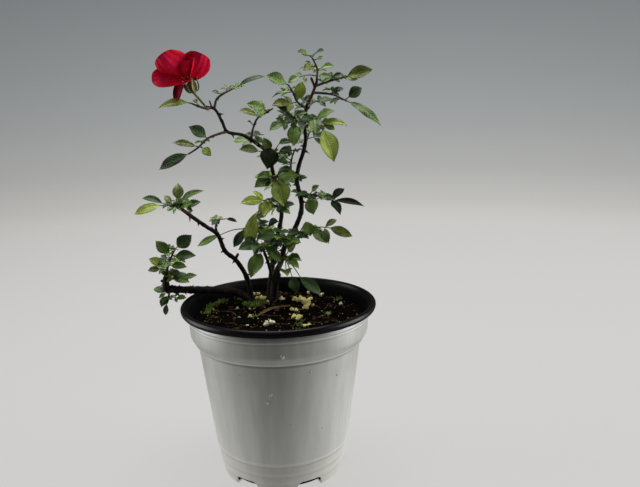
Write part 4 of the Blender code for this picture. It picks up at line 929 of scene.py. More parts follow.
def ring_body(rings):
    """Points and faces of a closed body through rings of equal count, with a fan over each end."""
    rings = np.asarray(rings, float)
    count, sides, _ = rings.shape
    points = np.concatenate([rings.reshape(-1, 3), rings[:1].mean(axis=1), rings[-1:].mean(axis=1)])
    here = np.arange(sides)
    there = (here + 1) % sides
    first = np.stack([there, here, np.full(sides, count * sides)], axis=-1)
    top = (count - 1) * sides
    last = np.stack([top + here, top + there, np.full(sides, count * sides + 1)], axis=-1)
    return points, grid_quads(count, sides, True), np.concatenate([first, last])


def closed_sheet(upper, lower):
    """Points and faces of a thin closed body between two grids of points."""
    rows, columns, _ = upper.shape
    points = np.concatenate([upper.reshape(-1, 3), lower.reshape(-1, 3)])
    top = grid_quads(rows, columns)
    under = top[:, ::-1] + rows * columns
    border = list(range(columns)) + [i * columns + columns - 1 for i in range(1, rows)]
    border += [(rows - 1) * columns + j for j in reversed(range(columns - 1))]
    border += [i * columns for i in reversed(range(1, rows - 1))]
    border = np.array(border)
    ahead = np.roll(border, -1)
    offset = rows * columns
    edge = np.stack([ahead, border, border + offset, ahead + offset], axis=-1)
    return points, np.concatenate([top, under, edge])


def route_frames(route, seam=TUBE_SEAM):
    """Forward, side and across vectors at each point of a route, without twist."""
    last = len(route) - 1
    side = seam
    frames = []
    for i in range(last + 1):
        forward = (route[min(i + 1, last)] - route[max(i - 1, 0)]).normalized()
        side = side - forward * side.dot(forward)
        side = side.normalized() if side.length > 0.01 else forward.orthogonal().normalized()
        frames.append((forward, side, forward.cross(side)))
    return frames


def oval_ring(centre, side, across, wide, tall, count):
    """Points round an oval, so wide to the side and so tall across it."""
    turns = [math.tau * k / count for k in range(count)]
    return [centre + side * (wide * math.cos(t)) + across * (tall * math.sin(t)) for t in turns]


def tube_rings(route, radii, sides):
    """Rings of a round tube along a route."""
    frames = route_frames(route)
    return [oval_ring(p, side, across, r, r, sides) for p, r, (_, side, across) in zip(route, radii, frames)]


def turned_rings(profile, segments):
    """Rings round the Z axis through an outline of (radius, height) pairs."""
    turns = np.arange(segments) * math.tau / segments
    return np.array([[(r * math.cos(t), r * math.sin(t), z) for t in turns] for r, z in profile])


def camera_axes():
    """Directions across the picture, up it and ahead of the camera."""
    level = math.cos(CAMERA_PITCH)
    ahead = Vector((math.sin(CAMERA_YAW) * level, math.cos(CAMERA_YAW) * level, -math.sin(CAMERA_PITCH)))
    right = Vector((math.cos(CAMERA_YAW), -math.sin(CAMERA_YAW), 0.0))
    above = right.cross(ahead)
    across = right * math.cos(CAMERA_ROLL) + above * math.sin(CAMERA_ROLL)
    upright = above * math.cos(CAMERA_ROLL) - right * math.sin(CAMERA_ROLL)
    return across, upright, ahead


def line_of_sight(column, row):
    """Direction from the camera through a point of the photograph."""
    across, upright, ahead = camera_axes()
    wide, high = PICTURE_SIZE
    focal = CAMERA_LENS / SENSOR_WIDTH * wide
    return (ahead + across * (column - wide / 2) / focal - upright * (row - high / 2) / focal).normalized()


def seen_on_soil(column, row):
    """Place on the soil that a point of the soil crop shows, kept clear of the pot."""
    left, top, scale = SOIL_CROP
    sight = line_of_sight(left + column / scale, top + row / scale)
    eye = Vector(CAMERA_PLACE)
    place = eye
    for _ in range(4):
        height = soil_height(place.x, place.y) + GAP
        place = eye + sight * ((height - eye.z) / sight.z)
    inside = min(1.0, (SOIL_RADIUS - 3) / math.hypot(place.x, place.y))
    return place.x * inside, place.y * inside


def share_seen(route, share):
    """Share of a route where a point of the photograph shows it. A plain number is a share already."""
    if not isinstance(share, Seen):
        return share
    eye = Vector(CAMERA_PLACE)
    sight = line_of_sight(*share)
    ways = [(point - eye).normalized() for point in route]
    return max(range(len(route)), key=lambda i: ways[i].dot(sight)) / len(route)


def route_length(route):
    return sum((b - a).length for a, b in zip(route, route[1:]))


def node_tree(name):
    """Search tree over the solid of a node, in millimetres."""
    mesh = frame["nodes"][name].data
    points = [v.co / MM for v in mesh.vertices]
    return BVHTree.FromPolygons(points, [tuple(p.vertices) for p in mesh.polygons])


# ---------------------------------------------------------------- materials


class Recipe:
    """The node graph of one material, built round its shader."""

    def __init__(self, name):
        self.material = bpy.data.materials.new(name)
        self.material.use_nodes = True
        self.nodes = self.material.node_tree.nodes
        self.links = self.material.node_tree.links
        self.nodes.clear()
        self.shader = self.nodes.new("ShaderNodeBsdfPrincipled")
        output = self.nodes.new("ShaderNodeOutputMaterial")
        self.links.new(self.shader.outputs["BSDF"], output.inputs["Surface"])
        self.place = self.nodes.new("ShaderNodeTexCoord").outputs["Object"]

    def feed(self, socket, value):
        if isinstance(value, bpy.types.NodeSocket):
            self.links.new(value, socket)
        elif isinstance(value, tuple):
            socket.default_value = (*value, 1.0)
        else:
            socket.default_value = value

    def noise(self, scale, detail=4.0, roughness=0.55, stretch=(1.0, 1.0, 1.0)):
        """Noise from 0 to 1. The scale is in cycles to the millimetre."""
        mapping = self.nodes.new("ShaderNodeMapping")
        mapping.inputs["Scale"].default_value = [scale / MM * s for s in stretch]
        self.links.new(self.place, mapping.inputs["Vector"])
        node = self.nodes.new("ShaderNodeTexNoise")
        node.inputs["Scale"].default_value = 1.0
        node.inputs["Detail"].default_value = detail
        node.inputs["Roughness"].default_value = roughness
        self.links.new(mapping.outputs["Vector"], node.inputs["Vector"])
        return node.outputs["Fac"]

    def along(self, axis):
        """Place along an axis of the object, in millimetres."""
        split = self.nodes.new("ShaderNodeSeparateXYZ")
        self.links.new(self.place, split.inputs["Vector"])
        return self.sum("DIVIDE", split.outputs[axis], MM)

    def value(self, name):
        """A value that the mesh holds for each of its points."""
        node = self.nodes.new("ShaderNodeAttribute")
        node.attribute_name = name
        return node.outputs["Fac"]

    def sum(self, operation, first, second=0.0):
        node = self.nodes.new("ShaderNodeMath")
        node.operation = operation
        self.feed(node.inputs[0], first)
        self.feed(node.inputs[1], second)
        return node.outputs["Value"]

    def ramp(self, value, low, high, start=0.0, end=1.0):
        """The value's range from low to high, carried on to the range from start to end."""
        node = self.nodes.new("ShaderNodeMapRange")
        node.interpolation_type = "SMOOTHSTEP"
        for socket, number in zip(node.inputs, (value, low, high, start, end)):
            self.feed(socket, number)
        return node.outputs["Result"]

    def mix(self, share, first, second):
        node = self.nodes.new("ShaderNodeMix")
        node.data_type = "RGBA"
        for number, given in ((0, share), (6, first), (7, second)):
            self.feed(node.inputs[number], given)
        return node.outputs[2]

    def finish(self, colour, roughness, height=None, depth=0.1, specular=0.5):
        """Ends the graph: colour, roughness, gloss and, with a height, a relief of so many millimetres."""
        self.feed(self.shader.inputs["Base Color"], colour)
        self.feed(self.shader.inputs["Roughness"], roughness)
        self.feed(self.shader.inputs["Specular IOR Level"], specular)
        if height is not None:
            bump = self.nodes.new("ShaderNodeBump")
            bump.inputs["Strength"].default_value = 1.0
            bump.inputs["Distance"].default_value = depth * MM
            self.links.new(height, bump.inputs["Height"])
            self.links.new(bump.outputs["Normal"], self.shader.inputs["Normal"])
        return self.material


def leaf_material(tint):
    """Leaflets: lighter rib and side veins, paler dull underside, darker margin."""
    dark, light, gloss = TINTS[tint]
    make = Recipe(f"leaf_{tint}")
    mottle = make.ramp(make.noise(0.22, 4.0, 0.6), 0.3, 0.7)
    shade = make.sum("MULTIPLY", make.value("shade"), 0.6)
    share = make.sum("ADD", shade, make.sum("MULTIPLY", mottle, 0.45))
    colour = make.mix(share, dark, light)
    side = make.sum("ABSOLUTE", make.value("side"))
    slope = make.sum("MULTIPLY", side, VEIN_SLOPE)
    phase = make.sum("DIVIDE", make.sum("SUBTRACT", make.value("ahead"), slope), VEIN_SPACING)
    beat = make.sum("ABSOLUTE", make.sum("SUBTRACT", make.sum("FRACT", phase), 0.5))
    veins = make.ramp(beat, 0.36, 0.5)
    rib = make.ramp(side, 0.1, 0.4, 1.0, 0.0)
    lines = make.sum("MAXIMUM", make.sum("MULTIPLY", veins, 0.3), make.sum("MULTIPLY", rib, 0.6))
    pale = tuple(c * 1.7 + 0.008 for c in light)
    colour = make.mix(lines, colour, pale)
    rim = tuple(d * k for d, k in zip(light, (0.3, 0.22, 0.22)))
    colour = make.mix(make.ramp(make.value("margin"), 0.7, 1.0, 0.0, 0.6), colour, rim)
    back = tuple(0.8 * c + add for c, add in zip(light, (0.018, 0.026, 0.008)))
    colour = make.mix(make.sum("MULTIPLY", make.value("under"), 0.8), colour, back)
    rough = make.ramp(make.noise(0.5, 2.0), 0.3, 0.7, 0.36, 0.5)
    rough = make.sum("ADD", rough, make.sum("MULTIPLY", make.value("under"), 0.3))
    relief = make.sum("SUBTRACT", make.noise(1.6, 3.0), make.sum("MULTIPLY", veins, 0.7))
    return make.finish(colour, rough, relief, 0.13, gloss)


def bark_material():
    """Old wood near black and furrowed, young wood red-brown and smooth."""
    make = Recipe("rose_bark")
    long = make.noise(0.5, 5.0, 0.6, (1.0, 1.0, 0.3))
    fine = make.noise(2.2, 4.0)
    old = make.mix(make.ramp(long, 0.4, 0.75), (0.006, 0.0045, 0.0035), (0.03, 0.02, 0.013))
    old = make.mix(make.ramp(fine, 0.66, 0.78, 0.0, 0.3), old, (0.09, 0.065, 0.045))
    young = make.mix(make.ramp(long, 0.3, 0.7), (0.06, 0.014, 0.01), (0.13, 0.045, 0.022))
    colour = make.mix(make.value("young"), old, young)
    rough = make.ramp(fine, 0.3, 0.7, 0.55, 0.8)
    return make.finish(colour, rough, make.sum("ADD", long, make.sum("MULTIPLY", fine, 0.4)), 0.3, 0.12)


def thorn_material():
    """Thorns: dark brown, redder on young wood, with a paler point."""
    make = Recipe("thorns")
    grain = make.noise(1.4, 3.0)
    colour = make.mix(make.ramp(grain, 0.3, 0.7), (0.02, 0.012, 0.009), (0.06, 0.03, 0.02))
    colour = make.mix(make.sum("MULTIPLY", make.value("young"), 0.8), colour, (0.25, 0.05, 0.03))
    colour = make.mix(make.ramp(make.value("tip"), 0.6, 1.0, 0.0, 0.6), colour, (0.16, 0.1, 0.06))
    return make.finish(colour, make.ramp(grain, 0.3, 0.7, 0.35, 0.5), make.noise(3.0, 2.0), 0.06)


def shoot_material(name, dark, light):
    """Thin green or reddish stalks."""
    make = Recipe(name)
    colour = make.mix(make.ramp(make.noise(0.25, 3.0), 0.3, 0.7), dark, light)
    colour = make.mix(make.sum("MULTIPLY", make.value("young"), 0.7), colour, (0.15, 0.045, 0.02))
    rough = make.ramp(make.noise(1.0, 2.0), 0.3, 0.7, 0.4, 0.6)
    return make.finish(colour, rough, make.noise(2.5, 2.0), 0.08)


def pot_material():
    """Moulded grey-white plastic with faint upright streaks, dust and scuffs, and rings of painted highlight
    and painted shadow along its mouldings.
    """
    make = Recipe("pot_plastic")
    streak = make.noise(0.16, 4.0, 0.6, (1.0, 1.0, 0.05))
    cloud = make.noise(0.03, 4.0)
    speck = make.noise(1.1, 2.0)
    colour = make.mix(make.ramp(streak, 0.3, 0.75), POT_DARK, POT_LIGHT)
    colour = make.mix(make.ramp(cloud, 0.45, 0.8, 0.0, 0.4), colour, POT_DUST)
    colour = make.mix(make.ramp(speck, 0.72, 0.8, 0.0, 0.35), colour, (0.25, 0.2, 0.15))
    height = make.along("Z")
    # rings of painted highlight on the mouldings' edges and of painted shadow below them
    for middle, half, painted_light_share in POT_PAINTED_BANDS:
        away = make.sum("ABSOLUTE", make.sum("SUBTRACT", height, middle))
        band = make.ramp(away, half * 0.4, half * 1.6, abs(painted_light_share), 0.0)
        colour = make.mix(band, colour, POT_PAINTED_HIGHLIGHT if painted_light_share > 0 else POT_PAINTED_SHADE)
    # painted shade under the brim
    low, high, shade = BRIM_SHADE
    colour = make.mix(make.ramp(height, low, high, 0.0, shade), colour, POT_PAINTED_SHADE)
    colour = make.mix(make.ramp(height, *STAIN_HEIGHTS, FOOT_STAIN, 0.0), colour, POT_STAIN)
    rough = make.ramp(make.noise(0.35, 3.0), 0.3, 0.7, 0.38, 0.48)
    grain = make.sum("ADD", make.noise(4.0, 2.0), make.sum("MULTIPLY", streak, 1.5))
    return make.finish(colour, rough, grain, 0.03, 0.95)


def lining_material():
    """Black plastic of the brim and the inside."""
    make = Recipe("pot_black")
    height = make.along("Z")
    dust = make.ramp(make.noise(0.4, 5.0), 0.55, 0.85, 0.0, 0.1)
    colour = make.mix(dust, (0.0025, 0.0025, 0.003), (0.04, 0.037, 0.034))
    inside = make.ramp(height, *THROAT_HEIGHTS, 0.3, 0.0)
    rough = make.sum("ADD", make.ramp(make.noise(0.9, 3.0), 0.3, 0.7, 0.28, 0.4), inside)
    gloss = make.ramp(height, *THROAT_HEIGHTS, 0.02, 0.17)
    return make.finish(colour, rough, make.noise(3.0, 2.0), 0.015, gloss)


def ground_piece(name, heap, kind, nodes=(), smooth_angle=180.0):
    """Soil, grit and bits of plant: three tones in patches, rough all over."""
    ground = GROUNDS[kind]
    make = Recipe(kind)
    patch = make.noise(ground.scale, 5.0, 0.65)
    fine = make.noise(ground.scale * 5, 3.0)
    colour = make.mix(make.ramp(patch, 0.35, 0.6), ground.dark, ground.mid)
    colour = make.mix(make.ramp(fine, 0.55, 0.75), colour, ground.light)
    height = make.sum("ADD", patch, make.sum("MULTIPLY", fine, 0.5))
    rough = make.ramp(fine, 0.3, 0.7, ground.roughness - 0.12, ground.roughness)
    material = make.finish(colour, rough, height, ground.depth, ground.gloss)
    return heap_piece(name, heap, material, nodes, smooth_angle)


def petal_material():
    """Velvety crimson: pinker along the middle as a painted sheen, near black on the turned edge, pale at the
    claw, and painted shade on petals marked shaded.
    """
    make = Recipe("petal_crimson")
    row = make.value("row")
    column = make.sum("ABSOLUTE", make.value("column"))
    streak = make.noise(0.5, 3.0, 0.5)
    colour = make.mix(make.ramp(streak, 0.3, 0.7), PETAL_DEEP, PETAL_RED)
    # painted sheen: pinker along each petal's middle
    middle = make.sum("MULTIPLY", make.ramp(column, 0.05, 0.75, 1.0, 0.0), make.ramp(row, 0.25, 0.75))
    colour = make.mix(make.sum("MULTIPLY", middle, 0.55), colour, PETAL_PAINTED_SHEEN)
    edge = make.sum("MAXIMUM", make.ramp(row, 0.94, 1.0), make.ramp(column, 0.94, 1.0))
    colour = make.mix(make.sum("MULTIPLY", edge, 0.75), colour, PETAL_DARK)
    colour = make.mix(make.ramp(row, 0.0, 0.06, 0.4, 0.0), colour, (0.5, 0.2, 0.05))
    colour = make.mix(make.value("shaded"), colour, PETAL_SHADED)
    rough = make.ramp(make.noise(1.2, 3.0), 0.3, 0.7, 0.55, 0.7)
    make.shader.inputs["Sheen Weight"].default_value = 0.03
    make.shader.inputs["Sheen Roughness"].default_value = 0.4
    make.shader.inputs["Sheen Tint"].default_value = (1.0, 0.3, 0.45, 1.0)
    lengthwise = make.sum("MULTIPLY", make.value("column"), 16.0)
    ribs = make.sum("ADD", make.sum("SINE", lengthwise), make.noise(1.2, 3.0, 0.5))
    return make.finish(colour, rough, ribs, 0.12, 0.06)


def sepal_material():
    """Calyx: olive green, with cream edges."""
    make = Recipe("calyx")
    colour = make.mix(make.ramp(make.noise(0.5, 3.0), 0.3, 0.7), (0.06, 0.06, 0.01), (0.24, 0.23, 0.035))
    colour = make.mix(make.ramp(make.value("margin"), 0.6, 0.95, 0.0, 0.65), colour, (0.42, 0.36, 0.12))
    rough = make.ramp(make.noise(1.5, 2.0), 0.3, 0.7, 0.45, 0.6)
    return make.finish(colour, rough, make.noise(2.0, 3.0), 0.12)


def stage_material():
    """Matt paper whose glow is painted light: pale at the floor, blue-grey high up, brightest a little to the
    right and dimmer to the sides.
    """
    make = Recipe("stage_paper")
    climb = make.nodes.new("ShaderNodeValToRGB")
    steps = climb.color_ramp.elements
    make.feed(climb.inputs["Fac"], make.sum("DIVIDE", make.along("Z"), WALL_TOP_HEIGHT))
    steps[0].color = (*STAGE_TONES[0][1], 1.0)
    steps[1].position = STAGE_TONES[-1][0]
    steps[1].color = (*STAGE_TONES[-1][1], 1.0)
    for place, tone in STAGE_TONES[1:-1]:
        steps.new(place).color = (*tone, 1.0)
    # painted light: the glow dims away from a place a little to the right
    aside = make.sum("ABSOLUTE", make.sum("SUBTRACT", make.along("X"), STAGE_BRIGHT_SIDE))
    dim = make.ramp(aside, *STAGE_DIM[:2], 0.0, STAGE_DIM[2])
    make.feed(make.shader.inputs["Emission Color"], make.mix(dim, climb.outputs["Color"], (0.0, 0.0, 0.0)))
    make.shader.inputs["Emission Strength"].default_value = STAGE_GLOW
    fine = make.noise(0.02, 3.0)
    colour = make.mix(make.ramp(fine, 0.3, 0.7, 0.0, 0.06), STAGE_PAPER, WALL_TONE)
    return make.finish(colour, make.ramp(fine, 0.3, 0.7, 0.85, 0.95), make.noise(0.8, 3.0), 0.02, 0.1)


# ---------------------------------------------------------------- leaves


def grow_leaflet(heap, base, along, normal, length, width, rng):
    """A toothed leaflet as a thin closed body: folded up from its rib, quilted between its veins."""
    base = np.array(base)
    along = np.array(along)
    normal = np.array(normal)
    across = np.cross(along, normal)
    teeth = max(4, round(length / TOOTH_PITCH))
    rows = 2 * teeth + 1
    share = np.linspace(0.0, 1.0, rows)[:, None]
    side = COLUMNS[None, :]
    fullness = OUTLINE_FULLNESS + OUTLINE_POINT * share**2
    outline = np.clip(np.sin(math.pi * share**OUTLINE_LEAN), 0.0, 1.0) ** fullness
    widest = length * width / 2
    half = np.maximum(LEAST_HALF, widest * outline)
    tooth = (np.arange(rows) % 2)[:, None] * np.clip(outline * 1.6, 0.0, 1.0) * np.abs(side) ** 6
    tooth = tooth * rng.uniform(*TOOTH_SIZES)
    reach = half * side + np.sign(side) * TOOTH_DEPTH * tooth
    ahead = length * share + TOOTH_LEAN * tooth - 0.02 * length * side**2 * (1 - share)
    spread = np.abs(reach)
    fold = rng.uniform(*LEAF_FOLD)
    lift = BLADE_ARCH * length * share * (1 - share) + fold * spread
    lift = lift - rng.uniform(*EDGE_CURL) * half * np.abs(side) ** 3
    beat = (ahead - VEIN_SLOPE * spread) / VEIN_SPACING
    quilt = np.abs(np.sin(math.pi * beat)) - 0.5
    lift = lift + QUILTING * quilt * np.clip(spread / 1.2, 0.0, 1.0) * np.clip(outline * 1.5, 0.0, 1.0)
    wave = rng.uniform(*MARGIN_WAVE) * widest
    swing = math.tau * (rng.uniform(*WAVE_COUNT) * share + rng.random()) + 2 * side
    lift = lift + wave * np.sin(swing) * side**2
    lift = lift - rng.uniform(*TIP_DROOP) * length * share**3
    twist = rng.uniform(-BLADE_TWIST, BLADE_TWIST) * share
    sway = rng.uniform(-BLADE_SWAY, BLADE_SWAY) * length * share**2
    out = (reach * np.cos(twist) - lift * np.sin(twist) + sway)[..., None]
    up = (reach * np.sin(twist) + lift * np.cos(twist))[..., None]
    upper = base + along * ahead[..., None] + across * out + normal * up
    rib = np.exp(-((side / RIB_WIDTH) ** 2)) * RIB_HEIGHT * (1 - RIB_TAPER * share)
    lower = upper - normal * (LEAF_THICKNESS + rib)[..., None]
    points, quads = closed_sheet(upper, lower)
    count = rows * len(COLUMNS)
    twice = {"side": reach, "ahead": ahead, "margin": np.broadcast_to(np.abs(side), reach.shape)}
    values = {key: np.tile(value.reshape(-1), 2) for key, value in twice.items()}
    heap.add(points, quads, under=np.repeat((0.0, 1.0), count), shade=rng.random(), **values)


class Foliage:
    """Leaflets heaped by tint, stalks and twigs, each kind with the nodes that it stands for."""

    def __init__(self):
        self.leaves = {tint: Heap() for tint in TINTS}
        self.nodes = {tint: set() for tint in TINTS}
        self.stalks = Heap()
        self.twigs = Heap()
        self.all_nodes = set()

    def tube(self, heap, route, first, last, sides, young):
        step = len(route) - 1
        radii = [first + (last - first) * i / step for i in range(step + 1)]
        heap.add(*ring_body(tube_rings(route, radii, sides)), young=young)

    def add_leaf(self, node, leaf, start, rng, tree):
        """A leaf where the solids have it, or anywhere without a tree: stalk, leaflets and two stipules."""
        stalk, blades = leaf_plan(leaf, start, rng)
        shown = [row for row in blades if tree is None or is_there(row, tree)]
        detail = random.Random(repr((node, tuple(start), leaf.heading)))
        if blades[0] not in shown:
            return
        young = detail.uniform(0.0, 0.8)
        bent = smooth_route(stalk, DRAWN_STEP)
        foot_radius, tip_radius = (STALK_RADIUS * swell for swell in STALK_SWELL)
        self.tube(self.stalks, bent, foot_radius, tip_radius, STALK_SIDES, young)
        self.nodes[leaf.tint].add(node)
        for root, along, normal, length, width in shown:
            foot = root + along * (PETIOLULE if root != stalk[-1] else 0.0)
            if root != stalk[-1]:
                short = [root, root.lerp(foot, 0.5), foot + along * PETIOLULE / 2]
                self.tube(self.stalks, short, *SIDE_STALK, SIDE_STALK_SIDES, young)
            long = length - (foot - root).length
            grow_leaflet(self.leaves[leaf.tint], foot, along, normal, long, width * SLIMMING, detail)
        ahead = (bent[1] - bent[0]).normalized()
        for side in (-1, 1):
            way = turned(ahead, blade_normal(ahead, 0), side * STIPULE_TURN)
            face = blade_normal(way, STIPULE_FACE)
            grow_leaflet(self.leaves["young"], start, way, face, STIPULE, STIPULE_WIDTH, detail)
        self.nodes["young"].add(node)


def is_there(row, tree):
    """Whether the solid has this blade too."""
    root, along, normal, length, _ = row
    middle = root + along * length * 0.5 + normal * BLADE_ARCH * length * 0.25
    return tree.find_nearest(middle)[3] < NEAR_ENOUGH


def grow_mass(foliage, mass, routes, trees, rng):
    """One mass: its twig, which starts inside its carrier, the solid's leaves, small ones and buds."""
    root = min(routes[mass.carrier], key=lambda p: (p - Vector(mass.knots[0])).length)
    whole = smooth_route([root] + list(mass.knots[1:]), FINE_STEP / 2)
    coarse = thinned(start_clear(whole, TWIG_RADIUS, trees[mass.carrier]), TWIG_STEP)
    tree = node_tree(mass.name)
    fine = thinned(whole, DRAWN_STEP)
    root_radius = TWIG_RADIUS * TWIG_SWELL[0]
    tip_radius = TWIG_TIP * TWIG_SWELL[1]
    foliage.tube(foliage.twigs, fine, root_radius, tip_radius, TWIG_SIDES, TWIG_YOUNG)
    foliage.all_nodes.add(mass.name)
    for leaf in mass.leaves:
        foliage.add_leaf(mass.name, leaf, place_on(coarse, leaf.at), rng, tree)
    detail = random.Random(mass.name)
    for i in range(FILL.get(mass.name, 0)):
        at = (i + detail.random()) / FILL[mass.name]
        turn = GOLDEN_ANGLE * i + detail.uniform(0, FILL_TURN)
        stalk = detail.uniform(*FILL_STALK)
        blade = detail.uniform(*FILL_BLADE)
        rise = detail.uniform(*FILL_RISE)
        face = detail.uniform(*FILL_FACE)
        tint = FILL_TINTS[i % len(FILL_TINTS)]
        leaf = Leaf(at, turn, rise, stalk, 3, blade, FILL_NOD, face, FILL_WIDTH, tint)
        foliage.add_leaf(mass.name, leaf, place_on(whole, at), detail, None)
    for share in BUD_PLACES:
        place = place_on(coarse, share)
        ahead = (place_on(coarse, share + 0.05) - place).normalized()
        away = turned(ahead.orthogonal().normalized(), ahead, detail.uniform(0, 360))
        bud = [place] + [place + away * out + ahead * along for out, along in BUD_BENDS]
        foliage.tube(foliage.twigs, bud, *BUD_RADII, BUD_SIDES, 0.9)


def grow_foliage(routes, trees):
    """Every mass, joined into one piece for each tint of leaf, one for the stalks and one for the twigs."""
    foliage = Foliage()
    rows = list(MASSES) + [round_mass(*row) for row in ROUND_TWIGS]
    for number, mass in enumerate(rows):
        grow_mass(foliage, mass, routes, trees, random.Random(SEED + number))
    # the sunlit and bright pieces carry painted light, the dark and deep pieces painted shade
    for tint, heap in foliage.leaves.items():
        nodes = sorted(foliage.nodes[tint])
        heap_piece(f"leaves_{tint}", heap, leaf_material(tint), nodes, 55.0)
    everywhere = sorted(foliage.all_nodes)
    stalks = shoot_material("leaf_stalks", (0.02, 0.028, 0.009), (0.06, 0.07, 0.02))
    heap_piece("leaf_stalks", foliage.stalks, stalks, everywhere)
    twigs = shoot_material("twigs", (0.009, 0.009, 0.005), (0.03, 0.027, 0.012))
    heap_piece("twigs", foliage.twigs, twigs, everywhere)


# ---------------------------------------------------------------- canes


def bark_rings(route, radii, seed):
    """Rings of a cane whose surface is furrowed and swells at its nodes."""
    rings = []
    climbed = 0.0
    before = route[0]
    for centre, radius, (_, side, across) in zip(route, radii, route_frames(route)):
        climbed += (centre - before).length
        before = centre
        from_node = (climbed + seed * 3.7) % NODE_SPACING - NODE_SPACING / 2
        swell = 1 + NODE_SWELL * math.exp(-((from_node / NODE_LENGTH) ** 2))
        ring = []
        for k in range(CANE_SIDES):
            turn = math.tau * k / CANE_SIDES
            way = side * math.cos(turn) + across * math.sin(turn)
            rough = noise.noise(Vector((way.x * 1.9 + seed, way.y * 1.9, climbed * 0.22 + way.z)))
            rough += 0.5 * noise.noise(Vector((way.x * 5 + seed, way.y * 5, climbed * 0.9)))
            ring.append(centre + way * radius * (swell + BARK_RELIEF * rough))
        rings.append(ring)
    return rings


def rounded_end(route, radii):
    """The route and radii with a blunt rounded end."""
    ahead = (route[-1] - route[-2]).normalized()
    tip = route[-1]
    radius = radii[-1]
    cap = [tip + ahead * radius * on for on, _ in END_STEPS]
    return route + cap, radii + [radius * share for _, share in END_STEPS]


def grow_thorn(heap, base, outward, along, length, young):
    """A flat-sided thorn: a long root on the cane, and a point that hooks down."""
    across = outward.cross(along).normalized()
    rings = []
    for share, wide, tall in THORN_SECTIONS:
        hook = along * -THORN_HOOK * length * share**THORN_CURVE
        centre = base + outward * (length * share - THORN_ROOT) + hook
        rings.append(oval_ring(centre, across, along, wide, tall, THORN_SIDES))
    tips = np.repeat([share for share, _, _ in THORN_SECTIONS], THORN_SIDES)
    heap.add(*ring_body(rings), young=young, tip=np.concatenate([tips, (0.0, 1.0)]))


def grow_canes():
    """Every limb with its relief, its thorns and the stubs left by pruning.

    Returns the limbs' centre lines, and search trees over their solids.
    """
    bark = bark_material()
    thorns = Heap()
    routes = {}
    trees = {}
    carrier = {}
    for number, limb in enumerate(LIMBS):
        knots = list(limb.knots)
        if limb.from_soil:
            x, y, _ = knots[0]
            knots[0] = (x, y, soil_height(x, y) + GAP)
        fine = smooth_route(knots, FINE_STEP)
        trees[limb.name] = node_tree(limb.name)
        routes[limb.name] = fine
        carrier[limb.name] = (limb, fine)
        drawn = thinned(fine, CANE_STEP)
        if limb.from_soil:
            drawn = [drawn[0] - UP * SUNK] + drawn
        total = route_length(drawn)
        climbed = 0.0
        radii = []
        young = []
        for i, point in enumerate(drawn):
            climbed += (point - drawn[i - 1]).length if i else 0.0
            radii.append(limb_radius(limb, climbed / total, climbed) * GNARLED.get(limb.name, 1.0))
            young.append(min(1.0, max(0.0, (climbed / total - limb.young) / YOUNG_BLEND + 0.5)))
        drawn, radii = rounded_end(drawn, radii)
        young += [young[-1]] * (len(drawn) - len(young))
        heap = Heap()
        values = np.concatenate([np.repeat(young, CANE_SIDES), (young[0], young[-1])])
        heap.add(*ring_body(bark_rings(drawn, radii, number + 1.3)), young=values)
        for stub in STUBS:
            if stub.limb == limb.name:
                share = share_seen(fine, stub.share)
                start = place_on(fine, share)
                way = pointing(stub.heading, stub.rise)
                route = [start + way * stub.length * on for on, _ in STUB_STEPS]
                sizes = [stub.radius * wide for _, wide in STUB_STEPS]
                route, sizes = rounded_end(route, sizes)
                fresh = 1.0 if share > limb.young else 0.25
                heap.add(*ring_body(bark_rings(route, sizes, stub.heading)), young=fresh)
        heap_piece(limb.name + "_bark", heap, bark, [limb.name])
    for name, rows in THORNS.items():
        limb, fine = carrier[name]
        for thorn in rows:
            share = share_seen(fine, thorn.share)
            place = min(len(fine) - 2, int(share * len(fine)))
            along = (fine[place + 1] - fine[place]).normalized()
            outward = pointing(thorn.heading, thorn.rise)
            outward = (outward - along * outward.dot(along) * 0.8).normalized()
            base = fine[place] + outward * limb_radius(limb, share, FLARE_HEIGHT)
            fresh = 1.0 if share > limb.young else 0.0
            grow_thorn(thorns, base, outward, along, thorn.length, fresh)
    heap_piece("thorns", thorns, thorn_material(), [])
    return routes, trees


# ---------------------------------------------------------------- pot and soil


def drain_cutter(angle):
    """A rounded notch through the pot's foot, as wide and as tall as the solid's."""
    wide, deep, tall = DRAIN_SIZE
    half, top, rounding = wide / 2, tall / 2, DRAIN_ROUNDING
    outline = [(-half, -2.0), (half, -2.0)]
    for first, centre in ((0, half - rounding), (90, rounding - half)):
        for step in range(7):
            turn = math.radians(first + 15 * step)
            outline.append((centre + rounding * math.cos(turn), top - rounding + rounding * math.sin(turn)))
    frame_turn = Matrix.Rotation(angle - math.pi / 2, 3, "Z")
    rings = []
    for away in (FOOT_RADIUS - deep / 2, FOOT_RADIUS + deep / 2):
        rings.append([frame_turn @ Vector((x, away, z)) for x, z in outline])
    heap = Heap()
    heap.add(*ring_body(rings))
    return heap.mesh("drain_cutter", 30.0)


def cut_drains(obj):
    """Cuts the drain notches out of the object for good."""
    holder = bpy.data.collections.new("drain_cutters")
    for i in range(DRAIN_COUNT):
        mesh = drain_cutter(math.radians(DRAIN_FIRST_ANGLE + 360.0 * i / DRAIN_COUNT))
        holder.objects.link(bpy.data.objects.new("drain_cutter", mesh))
    modifier = obj.modifiers.new("drains", "BOOLEAN")
    modifier.operation = "DIFFERENCE"
    modifier.operand_type = "COLLECTION"
    modifier.collection = holder
    modifier.solver = "EXACT"
    graph = bpy.context.evaluated_depsgraph_get()
    cut = bpy.data.meshes.new_from_object(obj.evaluated_get(graph))
    obj.modifiers.clear()
    obj.data = cut
    cut.shade_smooth()
    cut.set_sharp_from_angle(angle=math.radians(35.0))
    for cutter in list(holder.objects):
        bpy.data.objects.remove(cutter, do_unlink=True)
    bpy.data.collections.remove(holder)


